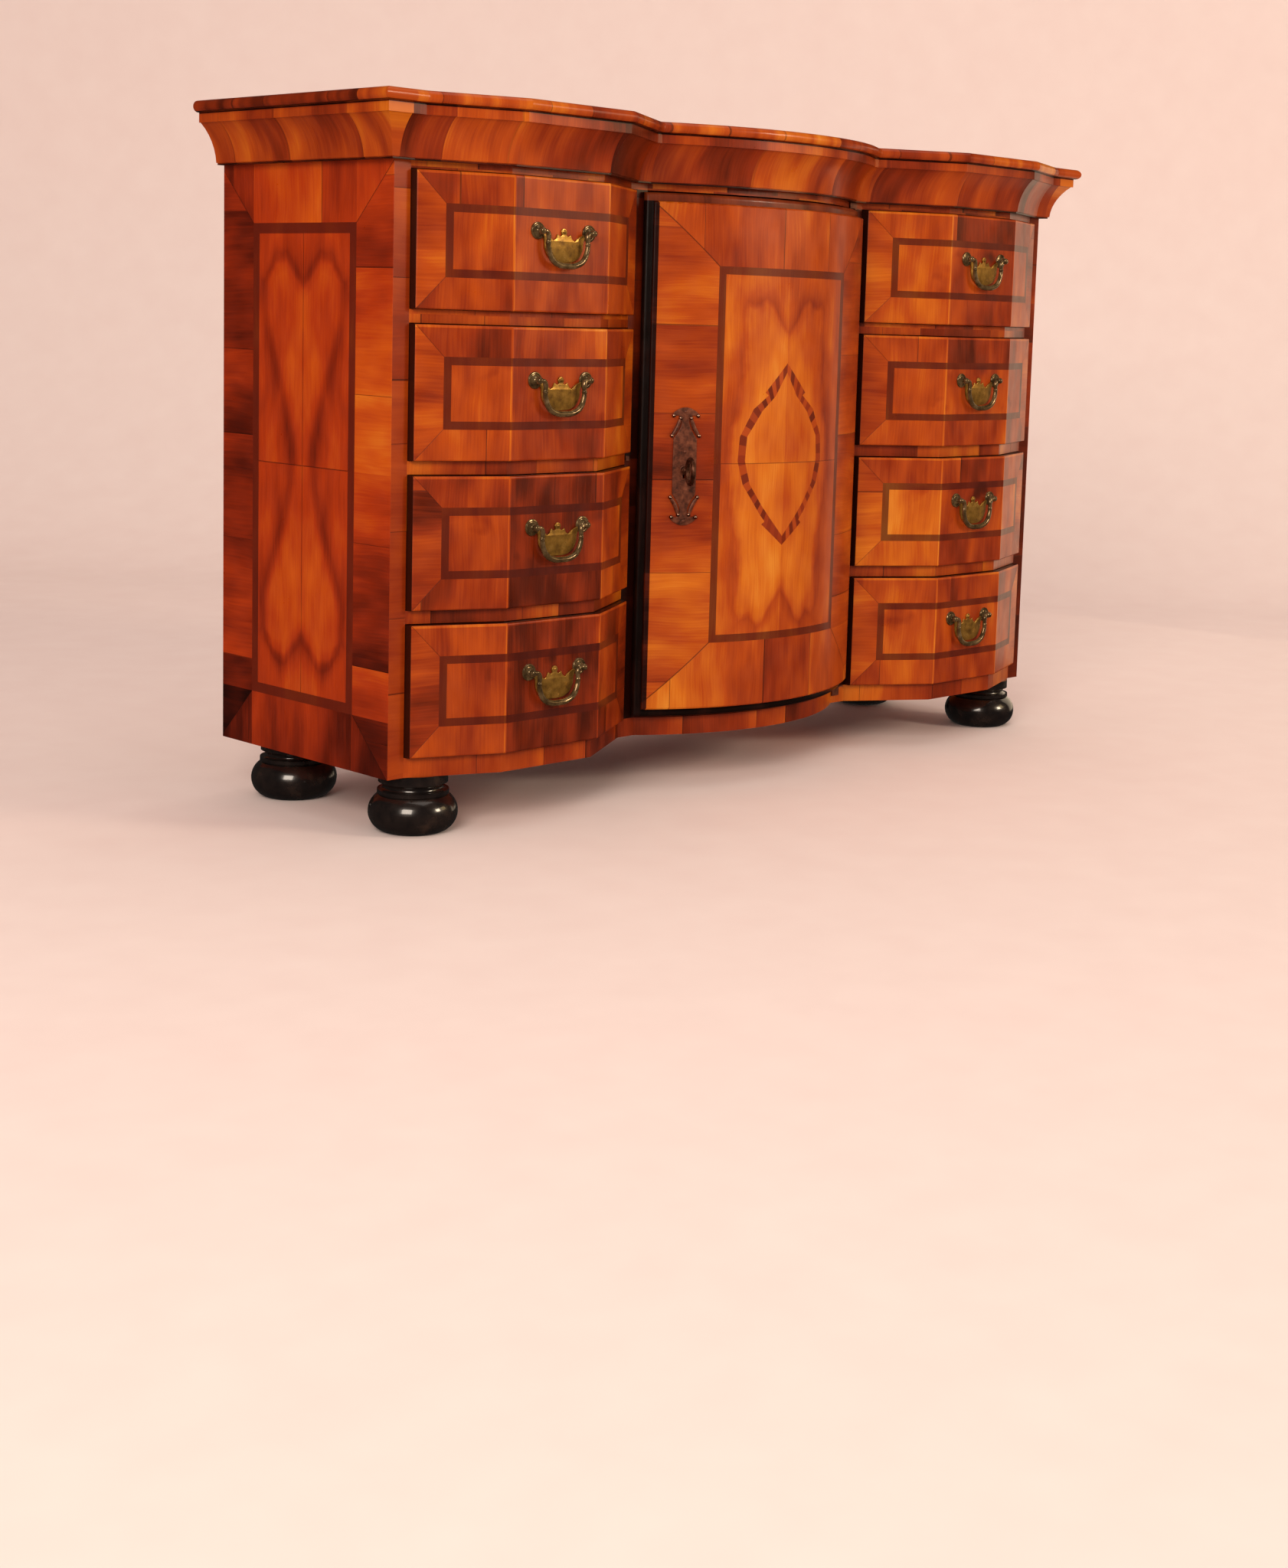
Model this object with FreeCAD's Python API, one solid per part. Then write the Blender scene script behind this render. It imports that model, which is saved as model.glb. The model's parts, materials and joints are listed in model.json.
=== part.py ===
import FreeCAD, Part
import math
import os

# Table cabinet with two banks of faceted drawers beside a bow-fronted door, on bun feet.
# Millimetres, X to the right, Y to the back, Z up. Pieces are drawn from the plane of the
# outer stiles (Y 0) and the underside of the carcass (Z 0), and moved to the middle of the
# overall box and up by the height of the feet when they are written out.

V = FreeCAD.Vector
UP = V(0, 0, 1)
FORWARD = V(0, -1, 0)

# Carcass
BODY_W = 1040.0
BODY_H = 600.0
BODY_D = 284.0
OUTER_STILE_W = 20.0
INNER_STILE_W = 24.0
INNER_SETBACK = 20.0
STILE_T = 18.0
FACET_RUN = 94.0
FLAT_RUN = 122.0
SWELL = 38.0
BOW_RISE = 54.0
SIDE_T = 15.0
BASE_T = 20.0
TOP_T = 18.0
TOP_RAIL = 7.0
BACK_T = 12.0
BACK_BOARDS = 5
GUIDE_H = 20.0
SHELF_T = 16.0
SHELF_Z = 296.0
SHELF_SETBACK = 40.0
BEARER = 12.0

# Drawers
ROWS = 4
DIVIDER_T = 13.0
DRAWER_PROUD = 8.0
FRONT_T = 22.0
FRONT_EDGE_R = 2.2
SIDE_GAP = 0.6
RUN_GAP = 0.3
HEAD_GAP = 0.8
BOX_T = 10.0
BOX_H = 104.0
BOX_BOTTOM_T = 6.0
BOX_BOTTOM_RISE = 5.0
BOX_BACK_GAP = 18.0

# Drawer handles
POST_PITCH = 68.0
HANDLE_RISE = 13.5
PLATE_T = 1.8
ROSETTE_R = 8.6
ROSETTE_BOSS_R = 6.2
ROSETTE_BOSS_T = 1.4
SHIELD_TOP_W = 56.0
SHIELD_FOOT_W = 42.0
SHIELD_TOP = 2.0
SHIELD_DROP = 29.0
SHIELD_CORNER = 15.0
LOBE_R = 4.6
LOBE_RISE = 1.6
HORN_X = 14.4
SCALLOP_R = 7.2
POST_R = 3.4
POST_BALL_R = 4.4
POST_REACH = 4.6
BAIL_ROD_R = 2.4
BAIL_DROP = 33.5
BAIL_ELBOW_R = 3.2
BAIL_CORNER_R = 20.0
PIN_OVERRUN = 3.6
PIVOT_FIT = 0.05

# Door
DOOR_T = 18.0
DOOR_GAP = 0.5
MOULD_W = 9.5
MOULD_T = 11.0
PANEL_EDGE_R = 2.0
HINGE_OVERLAP = 3.6
PIN_R = 1.8
PIN_LENGTH = 8.0
PINTLE_T = 1.4
PINTLE_SEAT = 0.2
PINTLE_GAP = 0.4
PINTLE_W = 12.0
PINTLE_LEG = 11.0
PINTLE_LEG_T = 2.0

# Lock
KEY_Z = 295.0
PLATE_RISE = 4.0
LOCK_PLATE_T = 1.6
LOCK_PLATE_H = 128.0
LOCK_PLATE_W = 27.0
LOCK_WAIST_W = 9.0
LOCK_SHOULDER = 28.0
CRESCENT_R = 15.0
CRESCENT_CUT = 3.6
HORN_SPREAD = 16.5
HORN_W = 4.0
LOCK_BALL_R = 2.4
NAIL_R = 1.3
KEY_R = 3.0
KEY_COLLAR_R = 4.6
KEY_BIT_R = 8.5
KEY_BIT_T = 2.6
KEY_BIT_L = 7.0
KEY_BIT_BACK = 4.0
KEY_SLOT_GAP = 0.5
BOW_RING_R = 10.6
BOW_WIRE_R = 2.4
BOW_STAND = 20.0
CASE_T = 2.0
CASE_DEPTH = 17.0
CASE_FIT = 0.1
CASE_TAIL = 18.0
CASE_BELOW = 25.0
CASE_ABOVE = 31.0
BOLT_T = 6.0
BOLT_H = 14.0
BOLT_TAIL = 10.0
BOLT_CLEAR = 5.3
BOLT_ENTRY = 7.5
BOLT_SHOWS = 3.0
BOLT_THROW = 12.0
BOLT_SETBACK = 7.0
BOLT_GAP = 0.3
BIT_GAP = 0.5
MORTISE_GAP = 0.8
KEEPER_T = 1.0
KEEPER_RIM = 5.0
STUD_W = 5.0
STUD_T = 1.5

# Cornice
LIP = 8.0
LIP_H = 2.0
COVE_FOOT = 9.5
COVE_REACH = 28.0
COVE_H = 39.0
COVE_HOLLOW = 4.5
FILLET_REACH = 30.0
FILLET_H = 10.0
CORNICE_SEAT = 22.0
TOP_PANEL_REACH = 25.0
TOP_NOSE_REACH = 37.0
TOP_PANEL_T = 12.0
BACK_RAIL_T = 18.0

# Bun feet
FOOT_H = 60.0
FOOT_R = 45.0
FOOT_CONTACT_R = 31.0
FOOT_BULGE_H = 38.5
FOOT_SHOULDER_R = 33.5
FOOT_RING_R = 36.0
FOOT_RING_H = 4.0
FOOT_NECK_R = 30.0
FOOT_COLLAR_R = 35.0
FOOT_COLLAR_H = 10.0
FOOT_INSET_X = 50.0
FOOT_INSET_FRONT = 22.0
FOOT_INSET_BACK = 59.0
SPIGOT_R = 12.0
SPIGOT_L = 14.0
SPIGOT_FIT = 0.05

# Places that follow from the sizes above
HALF_W = BODY_W / 2
BOW_HALF = HALF_W - OUTER_STILE_W - 2 * FACET_RUN - FLAT_RUN - INNER_STILE_W
BOW_R = (BOW_HALF ** 2 + BOW_RISE ** 2) / (2 * BOW_RISE)
BOW_CHORD = BOW_R - BOW_RISE
BOW_Y = INNER_SETBACK + BOW_CHORD
BACK_Y = BODY_D - BACK_T
HEAD_Z = BODY_H - TOP_RAIL
ROW_H = (HEAD_Z - BASE_T - (ROWS - 1) * DIVIDER_T) / ROWS
FRONT_LINE = [
    V(-HALF_W, 0, 0),
    V(-HALF_W + OUTER_STILE_W, 0, 0),
    V(-HALF_W + OUTER_STILE_W + FACET_RUN, -SWELL, 0),
    V(-BOW_HALF - INNER_STILE_W - FACET_RUN, -SWELL, 0),
    V(-BOW_HALF - INNER_STILE_W, INNER_SETBACK, 0),
    V(-BOW_HALF, INNER_SETBACK, 0),
]
BANK_LEFT = FRONT_LINE[1].x
BANK_RIGHT = FRONT_LINE[4].x
CORNICE_TOP = BODY_H + LIP_H + COVE_H + FILLET_H
FAR = 2 * BODY_W
PANEL_R = BOW_R + DOOR_T
MOULD_R = BOW_R + MOULD_T
PIVOT_X = BOW_HALF + HINGE_OVERLAP
PIVOT_OUT = ((MOULD_R + DOOR_GAP) ** 2 - PIVOT_X ** 2 - BOW_CHORD ** 2) / (
    2 * (BOW_CHORD + MOULD_R + DOOR_GAP)
)
PIVOT_Y = INNER_SETBACK - PIVOT_OUT
DOOR_END_R = PIVOT_OUT - DOOR_GAP
END_ANGLE = math.atan2(PIVOT_X, BOW_Y - PIVOT_Y)
END_REACH = math.hypot(PIVOT_X, BOW_Y - PIVOT_Y)
PANEL_ANGLE = END_ANGLE - max((MOULD_W - DOOR_END_R) / MOULD_R, math.asin(DOOR_END_R / END_REACH))
PINTLE_STACK = PINTLE_SEAT + PINTLE_T + PINTLE_GAP
DOOR_LOW = BASE_T + PINTLE_STACK
DOOR_HIGH = HEAD_Z - PINTLE_STACK
BOLT_R = BOW_R - BOLT_SETBACK - BOLT_T / 2
ENTRY_REACH = math.hypot(BOW_HALF, BOW_CHORD - BOLT_ENTRY)
ENTRY_ANGLE = math.atan2(BOW_HALF, BOW_CHORD - BOLT_ENTRY)
LOCK_ANGLE = math.degrees(math.acos(BOLT_R / ENTRY_REACH) - ENTRY_ANGLE)
CASE_HEAD = math.sqrt(ENTRY_REACH ** 2 - BOLT_R ** 2) - BOLT_CLEAR - BOLT_SHOWS


def line(start, end):
    """Straight edge."""
    return Part.LineSegment(start, end).toShape()


def arc(start, middle, end):
    """Round edge through three points."""
    return Part.Arc(start, middle, end).toShape()


def polygon(points):
    """Flat face with straight edges."""
    return Part.Face(Part.makePolygon(points + points[:1]))


def raised(face, low, high):
    """Solid between two heights over a face drawn at height 0."""
    return face.translated(V(0, 0, low)).extrude(V(0, 0, high - low))


def box(x, y, z):
    """Block between three pairs of limits."""
    size = [limits[1] - limits[0] for limits in (x, y, z)]
    return Part.makeBox(*size, V(x[0], y[0], z[0]))


def mirrored(shape):
    """The same piece on the other side of the middle plane."""
    return shape.mirror(V(0, 0, 0), V(1, 0, 0))


def pair(shape):
    """A left-hand piece and its right-hand twin."""
    return [shape, mirrored(shape)]


def beyond(point, normal):
    """Everything on one side of the plane through a point."""
    block = Part.makeBox(FAR, FAR, FAR, V(-FAR / 2, -FAR / 2, 0))
    turn = FreeCAD.Rotation(UP, normal)
    return block.transformed(FreeCAD.Placement(point, turn).toMatrix())


def shifted(start, end, offset):
    """A stretch of the front line moved outwards, as a point and a direction."""
    along = (end - start).normalize()
    return start + V(along.y, -along.x, 0) * offset, along


def crossing(first, second):
    """Where two moved stretches meet."""
    p, d = first
    q, e = second
    reach = ((q.x - p.x) * e.y - (q.y - p.y) * e.x) / (d.x * e.y - d.y * e.x)
    return p + d * reach


def at_x(stretch, x):
    """Point of a moved stretch at a given X."""
    point, along = stretch
    return point + along * ((x - point.x) / along.x)


def front_stretches(offset):
    """The straight stretches left of the bow, moved outwards, from left to right."""
    ends = zip(FRONT_LINE, FRONT_LINE[1:])
    return [shifted(start, end, offset) for start, end in ends]


def front_corners(offset):
    """Corners of the left half of the front line, moved outwards."""
    stretches = front_stretches(offset)
    corners = [crossing(a, b) for a, b in zip(stretches, stretches[1:])]
    bow_end = math.sqrt((BOW_R + offset) ** 2 - (BOW_CHORD + offset) ** 2)
    return corners + [V(-bow_end, INNER_SETBACK - offset, 0)]


def board_plan(outline, bow_r):
    """Face inside a left-hand outline, its twin and the bow that joins them at the front."""
    right = [V(-p.x, p.y, 0) for p in reversed(outline)]
    edges = [line(a, b) for a, b in zip(outline, outline[1:])]
    edges.append(arc(outline[-1], V(0, BOW_Y - bow_r, 0), right[0]))
    edges += [line(a, b) for a, b in zip(right, right[1:])]
    edges.append(line(right[-1], outline[0]))
    return Part.Face(Part.Wire(edges))


def full_plan(offset, side_reach):
    """Plan of a board over the whole carcass, flush at the back."""
    side = -HALF_W - side_reach
    outline = [V(side, BODY_D, 0), V(side, -offset, 0)] + front_corners(offset)
    return board_plan(outline, BOW_R + offset)


def bank_line(offset, gap):
    """Face line of the left bank moved outwards, between the stiles less a gap."""
    stretches = front_stretches(offset)
    corners = front_corners(offset)
    first = at_x(stretches[1], BANK_LEFT + gap)
    last = at_x(stretches[3], BANK_RIGHT - gap)
    return [first, corners[1], corners[2], last]


def on_bow(radius, angle):
    """Point at a radius from the bow's axis, at an angle from straight ahead."""
    return V(radius * math.sin(angle), BOW_Y - radius * math.cos(angle), 0)


def bow_sector(inner, outer, start, end, low, high):
    """Curved block between two radii, two angles and two heights."""
    middle = (start + end) / 2
    edges = [
        arc(on_bow(outer, start), on_bow(outer, middle), on_bow(outer, end)),
        line(on_bow(outer, end), on_bow(inner, end)),
        arc(on_bow(inner, end), on_bow(inner, middle), on_bow(inner, start)),
        line(on_bow(inner, start), on_bow(outer, start)),
    ]
    return raised(Part.Face(Part.Wire(edges)), low, high)


def row_floor(row):
    """Height of the board that a drawer runs on, rows counted from the top."""
    return HEAD_Z - ROW_H - row * (ROW_H + DIVIDER_T)


def foot_places():
    """Middles of the left feet, front then back."""
    x = -HALF_W + FOOT_INSET_X
    return [V(x, FOOT_INSET_FRONT, 0), V(x, BODY_D - FOOT_INSET_BACK, 0)]


def carcass():
    """Boards, stiles, dividers and guides of the carcass."""
    inner_side = -HALF_W + SIDE_T
    notch = [V(inner_side, STILE_T, 0), V(BANK_LEFT, STILE_T, 0)]
    outline = [V(inner_side, BACK_Y, 0)] + notch + FRONT_LINE[1:]
    base = raised(board_plan(outline, BOW_R), 0, BASE_T)
    for place in foot_places():
        hole = Part.makeCylinder(SPIGOT_R + SPIGOT_FIT, SPIGOT_L, place)
        base = base.cut(hole).cut(mirrored(hole))

    top = raised(full_plan(0, 0), HEAD_Z, HEAD_Z + TOP_T)
    side = box((-HALF_W, inner_side), (STILE_T, BODY_D), (0, HEAD_Z))
    stile_back = INNER_SETBACK + STILE_T
    partition = box((BANK_RIGHT, -BOW_HALF), (stile_back, BACK_Y), (BASE_T, HEAD_Z))
    outer_stile = box((-HALF_W, BANK_LEFT), (0, STILE_T), (0, HEAD_Z))
    inner_stile = box((BANK_RIGHT, -BOW_HALF), (INNER_SETBACK, stile_back), (BASE_T, HEAD_Z))
    lock_stile = inner_stile.cut(bolt(BOLT_THROW, MORTISE_GAP))

    bank = polygon(
        [V(inner_side, BACK_Y, 0)] + notch + FRONT_LINE[1:5] + [V(BANK_RIGHT, BACK_Y, 0)]
    )
    floors = [row_floor(row) for row in range(ROWS)]
    dividers = [raised(bank, floor - DIVIDER_T, floor) for floor in floors[:-1]]
    guides = [
        box((inner_side, BANK_LEFT), (STILE_T, BACK_Y), (floor, floor + GUIDE_H))
        for floor in floors
    ]

    board_w = 2 * -inner_side / BACK_BOARDS
    back = [
        box(
            (inner_side + i * board_w, inner_side + (i + 1) * board_w),
            (BACK_Y, BODY_D),
            (0, HEAD_Z),
        )
        for i in range(BACK_BOARDS)
    ]
    shelf_run = (INNER_SETBACK + SHELF_SETBACK, BACK_Y)
    shelf = box((-BOW_HALF, BOW_HALF), shelf_run, (SHELF_Z, SHELF_Z + SHELF_T))
    bearer = box((-BOW_HALF, -BOW_HALF + BEARER), shelf_run, (SHELF_Z - BEARER, SHELF_Z))

    return {
        "base_board": [base],
        "top_board": [top],
        "left_side_panel": [side],
        "right_side_panel": [mirrored(side)],
        "left_partition": [partition],
        "right_partition": [mirrored(partition)],
        "front_stiles": pair(outer_stile) + [lock_stile, mirrored(inner_stile)],
        "left_dividers": dividers,
        "right_dividers": [mirrored(board) for board in dividers],
        "drawer_guides": guides + [mirrored(guide) for guide in guides],
        "back_boards": back,
        "shelf": [shelf],
        "shelf_bearers": pair(bearer),
    }


def mitred_lengths(section, reach):
    """Lengths of a moulding round the front and both sides, mitred at every corner.

    section draws the moulding's face from a function of reach and height.
    """
    inner = [FRONT_LINE[0]] + front_corners(0)
    outer = [V(-HALF_W - reach, -reach, 0)] + front_corners(reach)
    starts = [V(-HALF_W, BODY_D, 0)] + inner[:-1]
    mitres = [o - i for i, o in zip(inner, outer)]
    lengths = []
    for n, (start, end) in enumerate(zip(starts, inner)):
        along = (end - start).normalize()
        out = V(along.y, -along.x, 0)
        spare = reach if n else 0
        foot = start - along * spare
        face = section(lambda d, z: foot + out * d + V(0, 0, z))
        piece = face.extrude(along * ((end - start).Length + spare + reach))
        piece = piece.cut(beyond(end, square_to(mitres[n], along)))
        if n:
            piece = piece.cut(beyond(start, square_to(mitres[n - 1], along) * -1))
        lengths += pair(piece)

    bow_end = inner[-1]
    half = math.atan2(BOW_HALF + reach, BOW_CHORD)
    ray = on_bow(1, -half) - on_bow(0, 0)
    face = section(lambda d, z: on_bow(0, 0) + ray * (BOW_R + d) + V(0, 0, z))
    bow = face.revolve(on_bow(0, 0), UP, math.degrees(2 * half))
    cutter = beyond(bow_end, square_to(mitres[-1], V(-1, 0, 0)))
    return lengths + [bow.cut(cutter).cut(mirrored(cutter))]


def square_to(mitre, along):
    """Level direction square to a mitre line, on the side that a run points to."""
    normal = V(mitre.y, -mitre.x, 0).normalize()
    return normal if normal.dot(along) > 0 else normal * -1


def cornice_section(at):
    """Lip, cove and fillet, with a seat over the top board behind them."""
    lip_top = BODY_H + LIP_H
    cove_top = lip_top + COVE_H
    hollow = (COVE_FOOT + COVE_REACH) / 2 - COVE_HOLLOW
    seat = HEAD_Z + TOP_T
    cove = arc(
        at(COVE_FOOT, lip_top), at(hollow, lip_top + COVE_H / 2), at(COVE_REACH, cove_top)
    )
    corners = [
        at(COVE_REACH, cove_top),
        at(FILLET_REACH, cove_top),
        at(FILLET_REACH, CORNICE_TOP),
        at(-CORNICE_SEAT, CORNICE_TOP),
        at(-CORNICE_SEAT, seat),
        at(0, seat),
        at(0, BODY_H),
        at(LIP, BODY_H),
        at(LIP, lip_top),
        at(COVE_FOOT, lip_top),
    ]
    edges = [line(a, b) for a, b in zip(corners, corners[1:])]
    return Part.Face(Part.Wire([cove] + edges))


def nose_section(at):
    """Half-round edge of the top."""
    low = CORNICE_TOP
    high = CORNICE_TOP + TOP_PANEL_T
    flat = TOP_NOSE_REACH - TOP_PANEL_T / 2
    nose = arc(at(flat, low), at(TOP_NOSE_REACH, (low + high) / 2), at(flat, high))
    corners = [
        at(flat, high),
        at(TOP_PANEL_REACH, high),
        at(TOP_PANEL_REACH, low),
        at(flat, low),
    ]
    edges = [line(a, b) for a, b in zip(corners, corners[1:])]
    return Part.Face(Part.Wire([nose] + edges))


def cornice():
    """Cove moulding, back rail, top panel and its half-round edge."""
    rail_half = HALF_W - CORNICE_SEAT
    rail_run = (BODY_D - BACK_RAIL_T, BODY_D)
    rail = box((-rail_half, rail_half), rail_run, (HEAD_Z + TOP_T, CORNICE_TOP))
    panel = full_plan(TOP_PANEL_REACH, TOP_PANEL_REACH)
    return {
        "cornice_moulding": mitred_lengths(cornice_section, FILLET_REACH),
        "cornice_back_rail": [rail],
        "top_panel": [raised(panel, CORNICE_TOP, CORNICE_TOP + TOP_PANEL_T)],
        "top_edge_moulding": mitred_lengths(nose_section, TOP_NOSE_REACH),
    }


def bun_foot(place):
    """Turned foot with a spigot for the base board, below the carcass."""
    ring_top = FOOT_BULGE_H + FOOT_RING_H
    collar = FOOT_H - FOOT_COLLAR_H
    neck = (ring_top + collar) / 2

    def at(radius, height):
        return place + V(radius, 0, height - FOOT_H)

    bulge = arc(
        at(FOOT_CONTACT_R, 0),
        at(FOOT_R, FOOT_BULGE_H / 2),
        at(FOOT_SHOULDER_R, FOOT_BULGE_H),
    )
    ring = [
        line(at(FOOT_SHOULDER_R, FOOT_BULGE_H), at(FOOT_RING_R, FOOT_BULGE_H)),
        line(at(FOOT_RING_R, FOOT_BULGE_H), at(FOOT_RING_R, ring_top)),
    ]
    hollow = arc(at(FOOT_RING_R, ring_top), at(FOOT_NECK_R, neck), at(FOOT_COLLAR_R, collar))
    rest = [
        at(FOOT_COLLAR_R, collar),
        at(FOOT_COLLAR_R, FOOT_H),
        at(SPIGOT_R, FOOT_H),
        at(SPIGOT_R, FOOT_H + SPIGOT_L),
        at(0, FOOT_H + SPIGOT_L),
        at(0, 0),
        at(FOOT_CONTACT_R, 0),
    ]
    edges = [bulge] + ring + [hollow] + [line(a, b) for a, b in zip(rest, rest[1:])]
    return Part.Face(Part.Wire(edges)).revolve(place, UP, 360)


def feet():
    """Two front feet and two back feet."""
    front, back = [bun_foot(place) for place in foot_places()]
    return {"front_feet": pair(front), "back_feet": pair(back)}


def drawer_front(floor):
    """Faceted front with softened edges, standing proud of the dividers."""
    face_line = bank_line(DRAWER_PROUD, SIDE_GAP)
    back_line = bank_line(DRAWER_PROUD - FRONT_T, SIDE_GAP)
    plan = polygon(face_line + back_line[::-1])
    front = raised(plan, floor + RUN_GAP, floor + ROW_H - HEAD_GAP)

    def shows(vertex):
        return min(V(vertex.X, vertex.Y, 0).distanceToPoint(p) for p in face_line) < RUN_GAP

    edges = [e for e in front.Edges if all(shows(v) for v in e.Vertexes)]
    return front.makeFillet(FRONT_EDGE_R, edges)


def drawer_box(floor):
    """Two sides, a back and a bottom behind the drawer's front."""
    left = BANK_LEFT + SIDE_GAP
    right = BANK_RIGHT - SIDE_GAP
    back = BACK_Y - BOX_BACK_GAP
    foot = floor + RUN_GAP
    head = foot + BOX_H
    bottom = foot + BOX_BOTTOM_RISE
    inside = bank_line(DRAWER_PROUD - FRONT_T, SIDE_GAP)
    room = raised(
        polygon(inside + [V(right, back, 0), V(left, back, 0)]), foot, head
    )
    depth = (-SWELL, back)
    inner = (left + BOX_T, right - BOX_T)
    return [
        box((left, inner[0]), depth, (foot, head)).common(room),
        box((inner[1], right), depth, (foot, head)).common(room),
        box(inner, (back - BOX_T, back), (bottom + BOX_BOTTOM_T, head)),
        box(inner, depth, (bottom, bottom + BOX_BOTTOM_T)).common(room),
    ]


def handle_centre(floor):
    """Point on the flat of a left drawer's face, between the posts of its handle."""
    x = (FRONT_LINE[2].x + FRONT_LINE[3].x) / 2
    return V(x, -SWELL - DRAWER_PROUD, floor + ROW_H / 2 + HANDLE_RISE)


def shield_face(centre):
    """Middle of the back plate: rounded below, straight above."""
    top = SHIELD_TOP_W / 2
    foot = SHIELD_FOOT_W / 2
    slope = math.atan2(SHIELD_DROP + SHIELD_TOP, top - foot)
    tangent = SHIELD_CORNER / math.tan((math.pi - slope) / 2)

    def at(x, z):
        return centre + V(x, 0, z)

    low = at(foot - tangent, -SHIELD_DROP)
    high = at(foot + tangent * math.cos(slope), -SHIELD_DROP + tangent * math.sin(slope))
    turn = (math.pi - slope) / 2
    hub = at(foot - tangent, SHIELD_CORNER - SHIELD_DROP)
    middle = hub + V(math.cos(turn), 0, -math.sin(turn)) * SHIELD_CORNER
    right = [line(at(top, SHIELD_TOP), high), arc(high, middle, low)]

    def over(point):
        return V(2 * centre.x - point.x, point.y, point.z)

    left = [arc(over(low), over(middle), over(high)), line(over(high), at(-top, SHIELD_TOP))]
    closing = line(at(-top, SHIELD_TOP), at(top, SHIELD_TOP))
    return Part.Face(Part.Wire(right + [line(low, over(low))] + left + [closing]))


def drawer_handle(floor):
    """Back plate with rosettes and a scalloped shield, and two ball-headed posts."""
    centre = handle_centre(floor)
    plate = shield_face(centre).extrude(FORWARD * PLATE_T)
    lobe_z = SHIELD_TOP + LOBE_RISE
    scallop_z = SHIELD_TOP + SCALLOP_R / 2
    for x in (HORN_X + SCALLOP_R, HORN_X - SCALLOP_R):
        for side in (-1, 1):
            hub = centre + V(side * x, 0, scallop_z)
            plate = plate.cut(Part.makeCylinder(SCALLOP_R, PLATE_T, hub, FORWARD))
    lobe = Part.makeCylinder(LOBE_R, PLATE_T, centre + V(0, 0, lobe_z), FORWARD)
    plate = plate.fuse(lobe)

    posts = []
    pin_y = PLATE_T + ROSETTE_BOSS_T + POST_REACH
    hole_foot = centre + V(-POST_PITCH, -pin_y, 0)
    hole = Part.makeCylinder(BAIL_ROD_R + PIVOT_FIT, 2 * POST_PITCH, hole_foot, V(1, 0, 0))
    for side in (-1, 1):
        foot = centre + V(side * POST_PITCH / 2, 0, 0)
        boss_foot = foot + FORWARD * PLATE_T
        stem_foot = boss_foot + FORWARD * ROSETTE_BOSS_T
        plate = plate.fuse(Part.makeCylinder(ROSETTE_R, PLATE_T, foot, FORWARD))
        boss = Part.makeCone(ROSETTE_BOSS_R, POST_R, ROSETTE_BOSS_T, boss_foot, FORWARD)
        plate = plate.fuse(boss)
        stem = Part.makeCylinder(POST_R, POST_REACH, stem_foot, FORWARD)
        ball = Part.makeSphere(POST_BALL_R, foot + FORWARD * pin_y)
        posts.append(stem.fuse(ball).cut(hole))
    return [plate.removeSplitter()] + posts


def drawer_bail(floor):
    """Swinging bail: one rod whose ends are the pins in the posts."""
    pin_y = PLATE_T + ROSETTE_BOSS_T + POST_REACH
    axis = handle_centre(floor) + FORWARD * pin_y
    pin_end = POST_PITCH / 2 + PIN_OVERRUN
    elbow = POST_PITCH / 2 - POST_BALL_R - BAIL_ELBOW_R - RUN_GAP
    flat = elbow - BAIL_CORNER_R
    knee = BAIL_CORNER_R - BAIL_DROP
    diagonal = math.sqrt(0.5)

    def at(x, z):
        return axis + V(x, 0, z)

    def half(side):
        pin = line(at(side * pin_end, 0), at(side * (elbow + BAIL_ELBOW_R), 0))
        bend = arc(
            at(side * (elbow + BAIL_ELBOW_R), 0),
            at(side * (elbow + BAIL_ELBOW_R * (1 - diagonal)), -BAIL_ELBOW_R * (1 - diagonal)),
            at(side * elbow, -BAIL_ELBOW_R),
        )
        arm = line(at(side * elbow, -BAIL_ELBOW_R), at(side * elbow, knee))
        corner = arc(
            at(side * elbow, knee),
            at(side * (flat + BAIL_CORNER_R * diagonal), knee - BAIL_CORNER_R * diagonal),
            at(side * flat, -BAIL_DROP),
        )
        return [pin, bend, arm, corner]

    grip = line(at(-flat, -BAIL_DROP), at(flat, -BAIL_DROP))
    path = Part.Wire(half(-1) + [grip] + half(1)[::-1])
    ring = Part.Wire(Part.makeCircle(BAIL_ROD_R, at(-pin_end, 0), V(1, 0, 0)))
    return [path.makePipeShell([ring], True, False)]


def drawers():
    """Both banks of drawers, counted from the top. Fronts and boxes face each other as twins."""
    across = V(-2 * handle_centre(0).x, 0, 0)
    nodes = {}
    for row in range(ROWS):
        floor = row_floor(row)
        wood = {"front": [drawer_front(floor)], "box": drawer_box(floor)}
        brass = {"handle": drawer_handle(floor), "bail": drawer_bail(floor)}
        for piece, solids in wood.items():
            nodes[f"left_drawer_{row + 1}_{piece}"] = solids
            nodes[f"right_drawer_{row + 1}_{piece}"] = [mirrored(s) for s in solids]
        for piece, solids in brass.items():
            nodes[f"left_drawer_{row + 1}_{piece}"] = solids
            nodes[f"right_drawer_{row + 1}_{piece}"] = [s.translated(across) for s in solids]
    return nodes


def at_lock(shape):
    """Move a piece drawn straight ahead of the bow's axis round to the lock."""
    return shape.rotated(V(0, BOW_Y, 0), UP, LOCK_ANGLE)


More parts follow.
